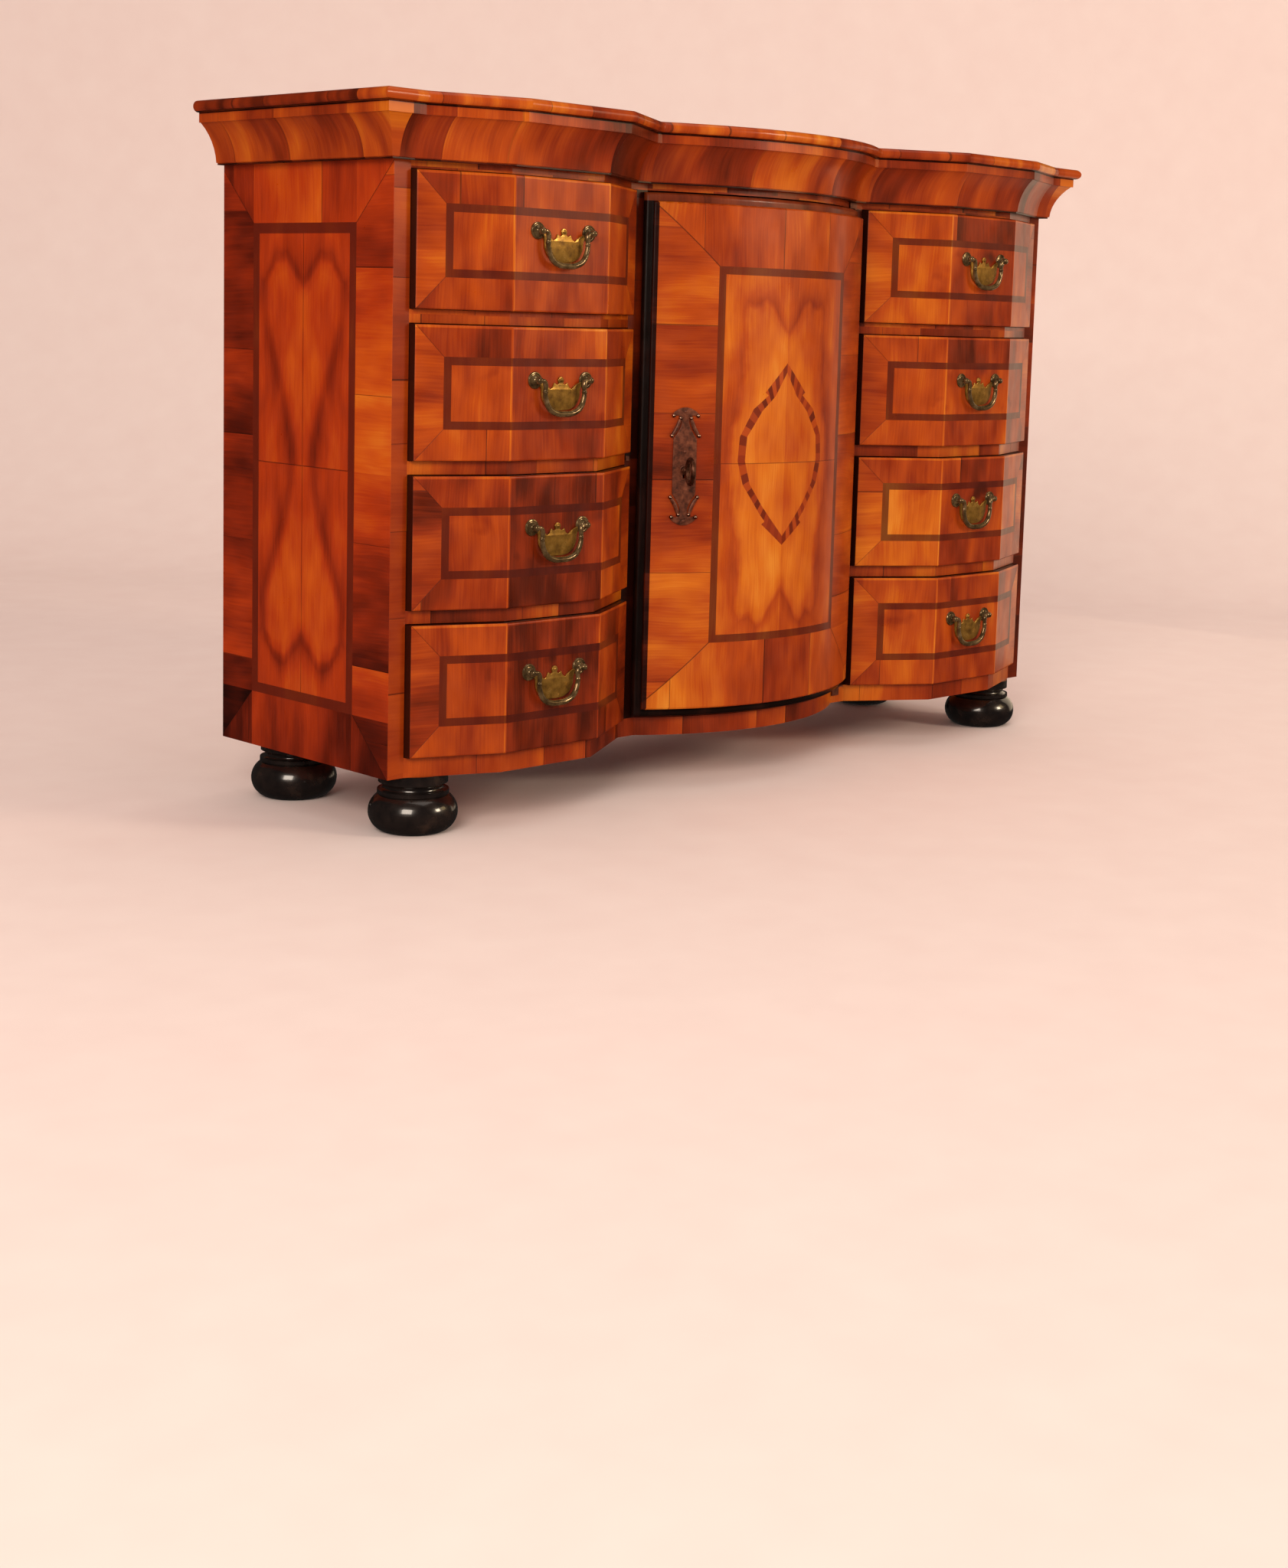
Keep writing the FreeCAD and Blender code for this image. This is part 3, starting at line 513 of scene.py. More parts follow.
class Walnut(Finish):
    """Walnut veneer under French polish: warm red-brown stripes below a clear, slightly wavy gloss.

    Widths are in millimetres, and a depth is a change of tone. Real pores are about 0.2 mm wide: the fibres
    are drawn coarser than that, so that they show in a picture.
    """

    coat = 0.16
    coat_roughness = 0.12
    gloss = 0.3
    fibre = Streak(1.9, 60.0, 0.6, 2.0)
    fibre_depth = 0.22
    stripe = Streak(34.0, 95.0, 0.5, 2.0)
    stripe_depth = 0.6
    bend = Streak(70.0, 110.0, 0.5, 1.0)
    bend_reach = 15.0
    leaf_depth = 0.3
    leaf_fall = 0.6
    leaf_spread = 0.9
    fall_seed = 0.37
    joint_w = 0.9
    mitre_share = 0.012
    right_seed = 5.3
    upper_seed = 3.7
    tones: Stops = (
        (0.0, "#240702"),
        (0.22, "#551803"),
        (0.42, "#882c06"),
        (0.6, "#ac4608"),
        (0.78, "#c96b11"),
        (1.0, "#df9631"),
    )
    string_tone = "#45130a"
    string_wood = 0.22
    seam_tone = "#2a0b03"
    seam_show = 0.62
    seam_depth = 0.05
    wave_w = 38.0
    wave_h = 0.35
    wear_w = 21.0
    wear_dulling = 0.22
    dullness = 0.22

    def streaks(self, tree: Tree, across: Socket, along: Socket, seed: Any, streak: Streak) -> Socket:
        """Soft streaks along the grain.

        Args:
            tree: material's node tree.
            across: millimetres across the grain.
            along: millimetres along the grain.
            seed: number that sets one leaf of veneer apart from another.
            streak: sizes of the streaks.

        Returns:
            Strength about zero.
        """
        aside = add(tree, "DIVIDE", across, streak.width)
        at = add(tree, "CombineXYZ", aside, add(tree, "DIVIDE", along, streak.length), seed)
        return add(tree, "SUBTRACT", add(tree, "TexNoise", at, None, 1.0, streak.detail, streak.mix), 0.5)

    def grain(self, tree: Tree, across: Socket, along: Socket, seed: Any) -> Socket:
        """Tone of the wood from fibres and broad stripes.

        Args:
            tree: material's node tree.
            across: millimetres across the grain.
            along: millimetres along the grain.
            seed: number that sets one leaf of veneer apart from another.

        Returns:
            Tone about one half, darker below and lighter above.
        """
        sway = self.streaks(tree, across, along, seed, self.bend)
        bent = add(tree, "MULTIPLY_ADD", sway, self.bend_reach, across)
        fibres = self.streaks(tree, bent, along, seed, self.fibre)
        stripes = self.streaks(tree, bent, along, seed, self.stripe)
        broad = add(tree, "MULTIPLY", stripes, self.stripe_depth)
        return add(tree, "ADD", shaded(tree, broad, (fibres, self.fibre_depth)), 0.5)

    def leaves(self, tree: Tree, along: Socket, length: float, seed: Any) -> tuple[Socket, Socket, Socket]:
        """Divide a run of cross-banding into leaves of uneven length.

        Args:
            tree: material's node tree.
            along: millimetres along the run.
            length: usual length of a leaf in millimetres.
            seed: number that sets one run apart from another.

        Returns:
            Number of the leaf, its change of tone, and a mask of the joints.
        """
        run = add(tree, "ADD", add(tree, "DIVIDE", along, length), seed)
        uneven = add(tree, "TexNoise", None, run, self.leaf_spread, 0.0, noise_dimensions="1D")
        place = add(tree, "ADD", run, uneven)
        number = add(tree, "FLOOR", place)
        part = add(tree, "SUBTRACT", place, number)
        apart = add(tree, "ADD", number, self.fall_seed)
        chance = add(tree, "TexWhiteNoise", None, number, noise_dimensions="1D")
        other = add(tree, "TexWhiteNoise", None, apart, noise_dimensions="1D")
        fall = add(tree, "MULTIPLY", add(tree, "SUBTRACT", part, 0.5), add(tree, "SUBTRACT", other, 0.5))
        slope = add(tree, "MULTIPLY", fall, self.leaf_fall)
        step = shaded(tree, slope, (add(tree, "SUBTRACT", chance, 0.5), self.leaf_depth))
        joint = add(tree, "LESS_THAN", part, self.joint_w / length)
        return number, step, joint

    def cross_banding(
        self, tree: Tree, along: Socket, across: Socket, length: float, seed: Any
    ) -> tuple[Socket, Socket]:
        """Lay a run of leaves whose grain lies across the run.

        Args:
            tree: material's node tree.
            along: millimetres along the run.
            across: millimetres across the run.
            length: usual length of a leaf in millimetres.
            seed: number that sets one run apart from another.

        Returns:
            Tone and a mask of the joints.
        """
        number, step, joint = self.leaves(tree, along, length, seed)
        tone = self.grain(tree, along, across, add(tree, "ADD", number, seed))
        return add(tree, "ADD", tone, step), joint

    def inlaid(
        self, tree: Tree, u: Socket, v: Socket, face: Inlay, centre: Socket, seed: Any
    ) -> tuple[Socket, Socket, Socket]:
        """A face with cross-banded borders mitred at the corners, a dark band and a centre.

        Args:
            tree: material's node tree.
            u: millimetres across the face from its middle.
            v: millimetres up the face from its middle.
            face: sizes of the face and its band.
            centre: tone inside the band.
            seed: number that sets one face apart from another.

        Returns:
            Tone, a mask of the band and a mask of the joints.
        """
        outer = within(tree, u, face.band_w, v, face.band_h)
        inner = within(tree, u, face.centre_w, v, face.centre_h)
        string = add(tree, "SUBTRACT", outer, inner)
        beyond = [
            add(tree, "DIVIDE", add(tree, "SUBTRACT", add(tree, "ABSOLUTE", place), band), half - band)
            for place, band, half in ((u, face.band_w, face.half_w), (v, face.band_h, face.half_h))
        ]
        lead = add(tree, "SUBTRACT", *beyond)
        upright = add(tree, "GREATER_THAN", lead, 0.0)
        hand = add(tree, "MULTIPLY_ADD", add(tree, "GREATER_THAN", u, 0.0), self.right_seed, seed)
        level = add(tree, "MULTIPLY_ADD", add(tree, "GREATER_THAN", v, 0.0), self.upper_seed, seed)
        side_tone, side_joint = self.cross_banding(tree, v, u, face.leaf_h, hand)
        end_tone, end_joint = self.cross_banding(tree, u, v, face.leaf_w, level)
        border = add(tree, "Mix", upright, None, end_tone, side_tone)
        joint = add(tree, "Mix", upright, None, end_joint, side_joint)
        mitre = add(tree, "LESS_THAN", add(tree, "ABSOLUTE", lead), self.mitre_share)
        seam = add(tree, "MULTIPLY", add(tree, "MAXIMUM", joint, mitre), add(tree, "SUBTRACT", 1.0, outer))
        return add(tree, "Mix", outer, None, border, centre), string, seam

    def book_matched(self, tree: Tree, u: Socket, v: Socket, figure: Figure, bright: Any) -> Socket:
        """Tone of a centre whose figure is reflected at its joints.

        Args:
            tree: material's node tree.
            u: millimetres from the upright joint.
            v: millimetres from the level joint.
            figure: what the veneer shows.
            bright: how much lighter the centre is than plain grain.

        Returns:
            Tone of the wood.
        """
        half = add(tree, "ABSOLUTE", u)
        rise = add(tree, "ABSOLUTE", v)
        below = add(tree, "LESS_THAN", v, 0.0)
        blur_at = add(tree, "CombineXYZ", half, v, below)
        blur = add(tree, "SUBTRACT", add(tree, "TexNoise", blur_at, None, 1 / figure.blur_w, 3.0), 0.5)
        aside = add(tree, "MULTIPLY_ADD", blur, figure.waver_aside, half)
        drop = add(tree, "MULTIPLY", below, figure.lower_drop)
        up = add(tree, "ADD", rise, add(tree, "MULTIPLY_ADD", blur, figure.waver_up, drop))
        width = add(tree, "ValToRGB", add(tree, "DIVIDE", up, figure.height), stops=figure.widths)
        head = add(tree, "ValToRGB", add(tree, "DIVIDE", aside, figure.reach), stops=figure.tops)
        beside = add(tree, "MULTIPLY_ADD", width, -figure.reach, aside)
        above = add(tree, "MULTIPLY_ADD", head, -figure.height, up)
        gap = add(tree, "MAXIMUM", beside, above)
        dark = add(tree, "ValToRGB", add(tree, "MULTIPLY_ADD", gap, 1 / figure.fade, 0.5), stops=figure.edge)
        wood = add(tree, "ADD", self.grain(tree, half, v, below), bright)
        return shaded(tree, wood, (dark, -figure.depth))

    def polished(
        self,
        tree: Tree,
        tone: Socket,
        string: Socket | None,
        seam: Socket | None,
        wood: Socket | None = None,
    ) -> Look:
        """Colour, roughness and height of polished veneer.

        Args:
            tree: material's node tree.
            tone: tone of the wood.
            string: mask of the dark band.
            seam: mask of the joints.
            wood: colour of the wood, where it does not follow from the finish's own tones.

        Returns:
            Colour, roughness and height.
        """
        colour = wood or add(tree, "ValToRGB", tone, stops=self.tones)
        if string is not None:
            dark = add(tree, "MixRGB", self.string_wood, linear(self.string_tone), colour)
            colour = add(tree, "MixRGB", string, colour, dark)
        spot = self.spot(tree)
        wave = add(tree, "TexNoise", spot, None, 1 / self.wave_w, 2.0)
        height = add(tree, "MULTIPLY", wave, self.wave_h)
        if seam is not None:
            line = add(tree, "MULTIPLY", seam, self.seam_show)
            colour = add(tree, "MixRGB", line, colour, linear(self.seam_tone))
            height = add(tree, "MULTIPLY_ADD", seam, -self.seam_depth, height)
        wear = add(tree, "TexNoise", spot, None, 1 / self.wear_w, 3.0)
        return colour, add(tree, "MULTIPLY_ADD", wear, self.wear_dulling, self.dullness), height


class DrawerWalnut(Walnut):
    """Faceted drawer fronts: leaves joined on the ridges, and a band that runs round the facets."""

    name = "walnut veneer of the drawers"
    stripe_depth = 0.75
    leaf_depth = 0.16
    face = Inlay(154.4, 66.2, 127.4, 35.2, 7.2, 8.0, 300.0, 300.0)
    middle = 345.0
    first_floor = 20.0
    pitch = 146.5
    half_height = 66.5
    ridge = 63.0
    rows = 4.0
    facets = 3.0
    facet_spread = 0.16
    facet_light = 0.05
    knot_w = 45.0
    knot_apart = 90.0
    knots = ((0.28, 1.0), (0.4, 0.0))
    knot_light = -0.16
    # Painted shade: the lower rows of the left bank are drawn darker, the bottom row most.
    row_shade_stops = ((0.0, 1.0), (0.6, 0.0))
    left_row_shade_light = -0.13
    # Painted light: on the right bank the facet nearest the door is drawn lighter, where it faces the light.
    lit_facet_light = 0.11
    flat_light = -0.06
    # Painted highlight: pale lines along the ridges and just under the top edge of each front.
    highlight_w = 1.3
    highlight_lift = 0.16
    highlight_head = 64.4
    # Painted shade: beyond its face, the sides, top and underside of each front are drawn dark.
    edge_u = 154.1
    edge_v = 65.8
    edge_shade_tone = "#2b0c04"

    def shade(self, tree: Tree) -> Look:
        """Draw the drawers' fronts, each facet from its own leaves.

        Args:
            tree: material's node tree.

        Returns:
            Colour, roughness and height in millimetres.
        """
        x, _, z = self.places(tree)
        u = add(tree, "SUBTRACT", add(tree, "ABSOLUTE", x), self.middle)
        up = add(tree, "DIVIDE", add(tree, "SUBTRACT", z, self.first_floor), self.pitch)
        row = add(tree, "FLOOR", up)
        v = add(tree, "MULTIPLY_ADD", add(tree, "SUBTRACT", up, row), self.pitch, -self.half_height)
        left = add(tree, "LESS_THAN", x, 0.0)
        right = add(tree, "GREATER_THAN", x, 0.0)
        drawer = add(tree, "MULTIPLY_ADD", right, self.rows, row)
        past = [add(tree, "GREATER_THAN", u, ridge) for ridge in (self.ridge, -self.ridge)]
        facet = add(tree, "ADD", *past)
        seed = add(tree, "MULTIPLY_ADD", drawer, self.facets, facet)
        chance = add(tree, "TexWhiteNoise", None, seed, noise_dimensions="1D")
        darkest = self.facet_light - self.facet_spread / 2
        spread = add(tree, "MULTIPLY_ADD", chance, self.facet_spread, darkest)
        knot_at = add(tree, "CombineXYZ", u, v, add(tree, "MULTIPLY", seed, self.knot_apart))
        cloud = add(tree, "TexNoise", knot_at, None, 1 / self.knot_w, 2.0)
        knots = add(tree, "ValToRGB", cloud, stops=self.knots)
        wood = add(tree, "ADD", self.grain(tree, u, v, seed), spread)
        centre = shaded(tree, wood, (knots, self.knot_light))
        tone, string, seam = self.inlaid(tree, u, v, self.face, centre, seed)
        # Painted shade by row on the left bank, darkest at the bottom.
        low = add(tree, "ValToRGB", add(tree, "DIVIDE", row, self.rows), stops=self.row_shade_stops)
        aside = add(tree, "ABSOLUTE", u)
        # Painted highlight lines along the ridges and under the top edge.
        off_ridge = add(tree, "ABSOLUTE", add(tree, "SUBTRACT", aside, self.ridge))
        off_head = add(tree, "ABSOLUTE", add(tree, "SUBTRACT", v, self.highlight_head))
        highlight_lines = add(tree, "LESS_THAN", add(tree, "MINIMUM", off_ridge, off_head), self.highlight_w)
        tone = shaded(
            tree,
            tone,
            (add(tree, "MULTIPLY", low, left), self.left_row_shade_light),
            # painted light on the right bank's facet nearest the door
            (add(tree, "MULTIPLY", add(tree, "LESS_THAN", u, -self.ridge), right), self.lit_facet_light),
            (add(tree, "LESS_THAN", aside, self.ridge), self.flat_light),
            (highlight_lines, self.highlight_lift),
        )
        colour, roughness, height = self.polished(tree, tone, string, seam)
        # Painted shade on the edges of each front, outside its face.
        front = within(tree, u, self.edge_u, v, self.edge_v)
        return add(tree, "MixRGB", front, linear(self.edge_shade_tone), colour), roughness, height


class CaseWalnut(Walnut):
    """Show wood of the carcass: cross-banded stiles and rails, and the inlaid, book-matched ends."""

    name = "walnut veneer of the carcass"
    end_tones = (
        (0.0, "#240602"),
        (0.22, "#541302"),
        (0.42, "#852403"),
        (0.6, "#a93503"),
        (0.78, "#c25207"),
        (1.0, "#d67a1c"),
    )
    end = Inlay(144.0, 300.0, 86.4, 242.0, 10.5, 10.5, 140.0, 115.0)
    end_x = 519.6
    end_y = 144.0
    end_z = 299.0
    seed = 2.0
    other_end_seed = 11.0
    book_joints = (0.45, 0.55)
    back_light = -0.2
    foot_light = -0.26
    front_light = 0.12
    outer_stile = 500.2
    inner_stile = (165.8, 190.2)
    stile_leaf = 82.0
    stile_apart = 100.0
    stile_seed = 1.7
    stile_contrast = 0.6
    stile_tone = 0.29
    # Painted shade on the inner stiles beside the door.
    inner_shade_light = -0.42
    far_light = -0.22
    low_stiles = ((0.3, 0.16), (0.85, 0.02))
    rail_foot = 20.0
    rail_head = 593.0
    rail_leaf = 78.0
    rail_apart = 70.0
    rail_seed = 2.3
    heart_light = 0.18
    heart = Figure(
        reach=68.0,
        height=212.0,
        widths=(
            (0.0, 0.24),
            (0.14, 0.31),
            (0.32, 0.50),
            (0.50, 0.74),
            (0.66, 0.94),
            (0.78, 1.0),
            (0.88, 0.98),
            (0.96, 0.80),
        ),
        tops=((0.0, 0.87), (0.18, 0.92), (0.42, 1.0), (0.7, 0.98), (1.0, 0.85)),
        blur_w=30.0,
        waver_aside=9.0,
        waver_up=16.0,
        lower_drop=9.0,
        fade=110.0,
        edge=(
            (0.0, 0.12),
            (0.3, 0.0),
            (0.4, 0.2),
            (0.47, 0.7),
            (0.52, 0.82),
            (0.58, 0.55),
            (0.66, 0.35),
            (0.76, 0.25),
            (1.0, 0.3),
        ),
        depth=0.35,
    )

    def ends(self, tree: Tree, x: Socket, y: Socket, z: Socket) -> tuple[Socket, Socket, Socket]:
        """The inlaid ends, with a heart above the level joint and one below it.

        Args:
            tree: material's node tree.
            x: millimetres to the right.
            y: millimetres back.
            z: millimetres up.

        Returns:
            Tone, a mask of the band and a mask of the joints.
        """
        u = add(tree, "SUBTRACT", y, self.end_y)
        v = add(tree, "SUBTRACT", z, self.end_z)
        seed = add(tree, "MULTIPLY_ADD", add(tree, "GREATER_THAN", x, 0.0), self.other_end_seed, self.seed)
        centre = self.book_matched(tree, u, v, self.heart, self.heart_light)
        tone, string, seam = self.inlaid(tree, u, v, self.end, centre, seed)
        ahead = add(tree, "LESS_THAN", u, -self.end.band_w)
        tone = shaded(
            tree,
            tone,
            (add(tree, "GREATER_THAN", u, self.end.band_w), self.back_light),
            (add(tree, "LESS_THAN", v, -self.end.band_h), self.foot_light),
            (add(tree, "MULTIPLY", ahead, add(tree, "GREATER_THAN", v, 0.0)), self.front_light),
        )
        joints = [
            add(tree, "LESS_THAN", add(tree, "ABSOLUTE", place), half)
            for place, half in zip((u, v), self.book_joints)
        ]
        inside = within(tree, u, self.end.centre_w, v, self.end.centre_h)
        book = add(tree, "MULTIPLY", add(tree, "MAXIMUM", *joints), inside)
        return tone, string, add(tree, "MAXIMUM", seam, book)

    def framing(self, tree: Tree, x: Socket, z: Socket) -> tuple[Socket, Socket]:
        """The stiles and the rails, cross-banded; the stiles grow darker towards the foot, and the inner stiles
        beside the door carry painted shade.

        Args:
            tree: material's node tree.
            x: millimetres to the right.
            z: millimetres up.

        Returns:
            Tone and a mask of the joints.
        """
        aside = add(tree, "ABSOLUTE", x)
        stile_run = add(tree, "ROUND", add(tree, "DIVIDE", x, self.stile_apart))
        rail_run = add(tree, "ROUND", add(tree, "DIVIDE", z, self.rail_apart))
        stile_seed = add(tree, "MULTIPLY", stile_run, self.stile_seed)
        rail_seed = add(tree, "MULTIPLY", rail_run, self.rail_seed)
        stile_tone, stile_seam = self.cross_banding(tree, z, x, self.stile_leaf, stile_seed)
        rail_tone, rail_seam = self.cross_banding(tree, x, z, self.rail_leaf, rail_seed)
        height = between(tree, z, self.rail_foot, self.rail_head)
        inner = add(tree, "MULTIPLY", between(tree, aside, *self.inner_stile), height)
        stile = add(tree, "MAXIMUM", add(tree, "GREATER_THAN", aside, self.outer_stile), inner)
        low = add(tree, "ValToRGB", add(tree, "DIVIDE", z, self.rail_head), stops=self.low_stiles)
        stile_tone = shaded(
            tree,
            add(tree, "MULTIPLY_ADD", stile_tone, self.stile_contrast, self.stile_tone),
            # painted shade on the inner stiles beside the door
            (inner, self.inner_shade_light),
            (add(tree, "GREATER_THAN", x, self.outer_stile), self.far_light),
            (low, -1.0),
        )
        tone = add(tree, "Mix", stile, None, rail_tone, stile_tone)
        return tone, add(tree, "Mix", stile, None, rail_seam, stile_seam)

    def shade(self, tree: Tree) -> Look:
        """Draw the ends, the stiles and the rails by their places.

        Args:
            tree: material's node tree.

        Returns:
            Colour, roughness and height in millimetres.
        """
        x, y, z = self.places(tree)
        end_tone, string, end_seam = self.ends(tree, x, y, z)
        tone, seam = self.framing(tree, x, z)
        at_end = add(tree, "GREATER_THAN", add(tree, "ABSOLUTE", x), self.end_x)
        tone = add(tree, "Mix", at_end, None, tone, end_tone)
        seam = add(tree, "Mix", at_end, None, seam, end_seam)
        string = add(tree, "MULTIPLY", string, at_end)
        woods = [add(tree, "ValToRGB", tone, stops=stops) for stops in (self.tones, self.end_tones)]
        return self.polished(tree, tone, string, seam, add(tree, "MixRGB", at_end, *woods))


class DoorWalnut(Walnut):
    """The door: cross-banded border, dark band, book-matched centre with a lozenge, and a plain inside."""

    name = "walnut veneer of the door"
    face = Inlay(172.0, 275.0, 101.0, 205.5, 8.0, 8.5, 105.0, 95.0)
    leaf_depth = 0.2
    seed = 4.0
    middle_x = -4.7
    middle_z = 310.0
    joint_x = -12.0
    joint_z = 302.0
    joint_half = 0.5
    joint_show = 0.8
    foot_light = 0.08
    # Painted shade on the door's rounded edge at the lock side.
    lock_edge = -167.5
    lock_edge_shade_light = -0.6
    lozenge_foot = 209.8
    lozenge_height = 202.6
    lozenge_reach = 67.0
    lozenge_outer = (
        (0.0, 0.0),
        (0.12, 0.47),
        (0.135, 0.40),
        (0.17, 0.50),
        (0.22, 0.61),
        (0.34, 0.87),
        (0.47, 0.98),
        (0.60, 0.95),
        (0.75, 0.70),
        (0.825, 0.40),
        (0.84, 0.47),
        (1.0, 0.0),
    )
    lozenge_inner = (
        (0.05, 0.0),
        (0.145, 0.27),
        (0.22, 0.47),
        (0.34, 0.73),
        (0.47, 0.84),
        (0.60, 0.81),
        (0.74, 0.52),
        (0.82, 0.25),
        (0.95, 0.0),
    )
    lozenge_pieces = 28.0
    lozenge_squash = 0.62
    piece_tone = 0.27
    piece_spread = 0.16
    odd_light = 0.17
    plume_light = 0.27
    plume_right_light = -0.08
    plume = Figure(
        reach=96.0,
        height=190.0,
        widths=((0.0, 0.84), (0.2, 0.82), (0.45, 0.7), (0.68, 0.66), (0.82, 0.68), (0.93, 0.62)),
        tops=((0.0, 0.76), (0.12, 0.83), (0.24, 0.93), (0.36, 0.97), (0.5, 0.92), (0.75, 0.95), (1.0, 0.7)),
        blur_w=34.0,
        waver_aside=16.0,
        waver_up=18.0,
        lower_drop=0.0,
        fade=120.0,
        edge=((0.0, 0.0), (0.3, 0.03), (0.42, 0.24), (0.49, 0.66), (0.55, 0.5), (0.66, 0.3), (1.0, 0.4)),
        depth=0.36,
    )
    bow_r = 283.6
    bow_y = 248.1
    inside_seed = 9.0
    inside_light = -0.1

    def lozenge(self, tree: Tree, beside: Socket, z: Socket) -> tuple[Socket, Socket]:
        """The lozenge of short pieces laid end to end, every other one lighter.

        Args:
            tree: material's node tree.
            beside: millimetres from the upright joint.
            z: millimetres up.

        Returns:
            Mask of the lozenge and the tone of its pieces.
        """
        up = add(tree, "DIVIDE", add(tree, "SUBTRACT", z, self.lozenge_foot), self.lozenge_height)
        half = add(tree, "ABSOLUTE", beside)
        past_outer, past_inner = [
            add(tree, "MULTIPLY_ADD", add(tree, "ValToRGB", up, stops=stops), -self.lozenge_reach, half)
            for stops in (self.lozenge_outer, self.lozenge_inner)
        ]
        inside = add(tree, "LESS_THAN", past_outer, 0.0)
        mask = add(tree, "MULTIPLY", inside, add(tree, "GREATER_THAN", past_inner, 0.0))
        squashed = self.lozenge_height * self.lozenge_squash
        rise = add(tree, "MULTIPLY", add(tree, "SUBTRACT", up, 0.5), squashed)
        turn = add(tree, "ARCTAN2", rise, beside)
        piece = add(tree, "FLOOR", add(tree, "MULTIPLY", turn, self.lozenge_pieces / math.pi))
        odd = add(tree, "FLOORED_MODULO", piece, 2.0)
        chance = add(tree, "TexWhiteNoise", None, piece, noise_dimensions="1D")
        tone = add(tree, "MULTIPLY_ADD", chance, self.piece_spread, self.piece_tone)
        return mask, shaded(tree, tone, (odd, self.odd_light))

    def shade(self, tree: Tree) -> Look:
        """Draw the door's face, and plain grain behind it.

        Args:
            tree: material's node tree.

        Returns:
            Colour, roughness and height in millimetres.
        """
        x, y, z = self.places(tree)
        u = add(tree, "SUBTRACT", x, self.middle_x)
        v = add(tree, "SUBTRACT", z, self.middle_z)
        beside = add(tree, "SUBTRACT", x, self.joint_x)
        level = add(tree, "SUBTRACT", z, self.joint_z)
        right = add(tree, "GREATER_THAN", beside, 0.0)
        bright = add(tree, "MULTIPLY_ADD", right, self.plume_right_light, self.plume_light)
        centre = self.book_matched(tree, beside, level, self.plume, bright)
        tone, string, seam = self.inlaid(tree, u, v, self.face, centre, self.seed)
        lozenge, piece_tone = self.lozenge(tree, beside, z)
        tone = shaded(
            tree,
            add(tree, "Mix", lozenge, None, tone, piece_tone),
            (add(tree, "LESS_THAN", v, -self.face.band_h), self.foot_light),
            # painted shade on the door's edge at the lock side
            (add(tree, "LESS_THAN", x, self.lock_edge), self.lock_edge_shade_light),
        )
        book = within(tree, u, self.face.centre_w, level, self.joint_half)
        seam = add(tree, "MAXIMUM", seam, add(tree, "MULTIPLY", book, self.joint_show))
        deep = add(tree, "SUBTRACT", y, self.bow_y)
        reach = add(tree, "SQRT", add(tree, "MULTIPLY_ADD", x, x, add(tree, "MULTIPLY", deep, deep)))
        behind = add(tree, "LESS_THAN", reach, self.bow_r)
        plain = add(tree, "ADD", self.grain(tree, x, z, self.inside_seed), self.inside_light)
        tone = add(tree, "Mix", behind, None, tone, plain)
        string, seam = [add(tree, "Mix", behind, None, mask, 0.0) for mask in (string, seam)]
        return self.polished(tree, tone, string, seam)


class MouldingWalnut(Walnut):
    """Cross-grain walnut on the cornice and the rounded edge of the top, in short leaves."""

    name = "cross-grain walnut of the mouldings"
    stripe_depth = 0.7
    leaf_depth = 0.36
    joint_w = 2.2
    seed = 6.0
    leaf = 125.0
    end_x = 521.0
    end_shift = 37.0
    end_light = 0.05
    edge_z = 651.2
    edge_seed = 31.0
    edge_shorter = 0.7
    edge_light = 0.2
    corner_x = -478.0
    corner_light = -0.26
    # Painted shade in the creases: along the quirk under the top's edge and below the foot of the cove.
    quirk_z = 651.0
    quirk_half = 1.1
    foot_z = 601.3
    crease_shade_light = -0.45
    all_light = -0.1
    cove_joint = 0.4
    edge_joint = 1.0

    def shade(self, tree: Tree) -> Look:
        """Draw leaves along the front and the ends, shorter ones round the top's edge.

        Args:
            tree: material's node tree.

        Returns:
            Colour, roughness and height in millimetres.
        """
        x, y, z = self.places(tree)
        at_end = add(tree, "GREATER_THAN", add(tree, "ABSOLUTE", x), self.end_x)
        run = add(tree, "Mix", at_end, None, x, add(tree, "ADD", y, self.end_shift))
        edge = add(tree, "GREATER_THAN", z, self.edge_z)
        seed = add(tree, "MULTIPLY_ADD", edge, self.edge_seed, self.seed)
        shorter = add(tree, "MULTIPLY", run, add(tree, "MULTIPLY_ADD", edge, self.edge_shorter, 1.0))
        tone, seam = self.cross_banding(tree, shorter, z, self.leaf, seed)
        ahead = add(tree, "SUBTRACT", 1.0, at_end)
        front_edge = add(tree, "MULTIPLY", edge, ahead)
        cove = add(tree, "SUBTRACT", ahead, front_edge)
        corner = add(tree, "MULTIPLY", add(tree, "LESS_THAN", x, self.corner_x), cove)
        # Painted shade lines in the quirk and below the cove.
        off_quirk = add(tree, "ABSOLUTE", add(tree, "SUBTRACT", z, self.quirk_z))
        quirk = add(tree, "LESS_THAN", off_quirk, self.quirk_half)
        crease_shade = add(tree, "MAXIMUM", quirk, add(tree, "LESS_THAN", z, self.foot_z))
        tone = shaded(
            tree,
            add(tree, "ADD", tone, self.all_light),
            (front_edge, self.edge_light),
            (corner, self.corner_light),
            (crease_shade, self.crease_shade_light),
            (at_end, self.end_light),
        )
        show = add(tree, "Mix", edge, None, self.cove_joint, self.edge_joint)
        return self.polished(tree, tone, None, add(tree, "MULTIPLY", seam, show))


class TopWalnut(Walnut):
    """The top: four long leaves of plain walnut with the grain along it."""

    name = "walnut veneer of the top"
    leaf = 290.0
    seed = 3.0

    def shade(self, tree: Tree) -> Look:
        """Draw the leaves side by side.

        Args:
            tree: material's node tree.

        Returns:
            Colour, roughness and height in millimetres.
        """
        x, y, _ = self.places(tree)
        number, step, joint = self.leaves(tree, x, self.leaf, self.seed)
        tone = add(tree, "ADD", self.grain(tree, y, x, number), step)
        return self.polished(tree, tone, None, joint)


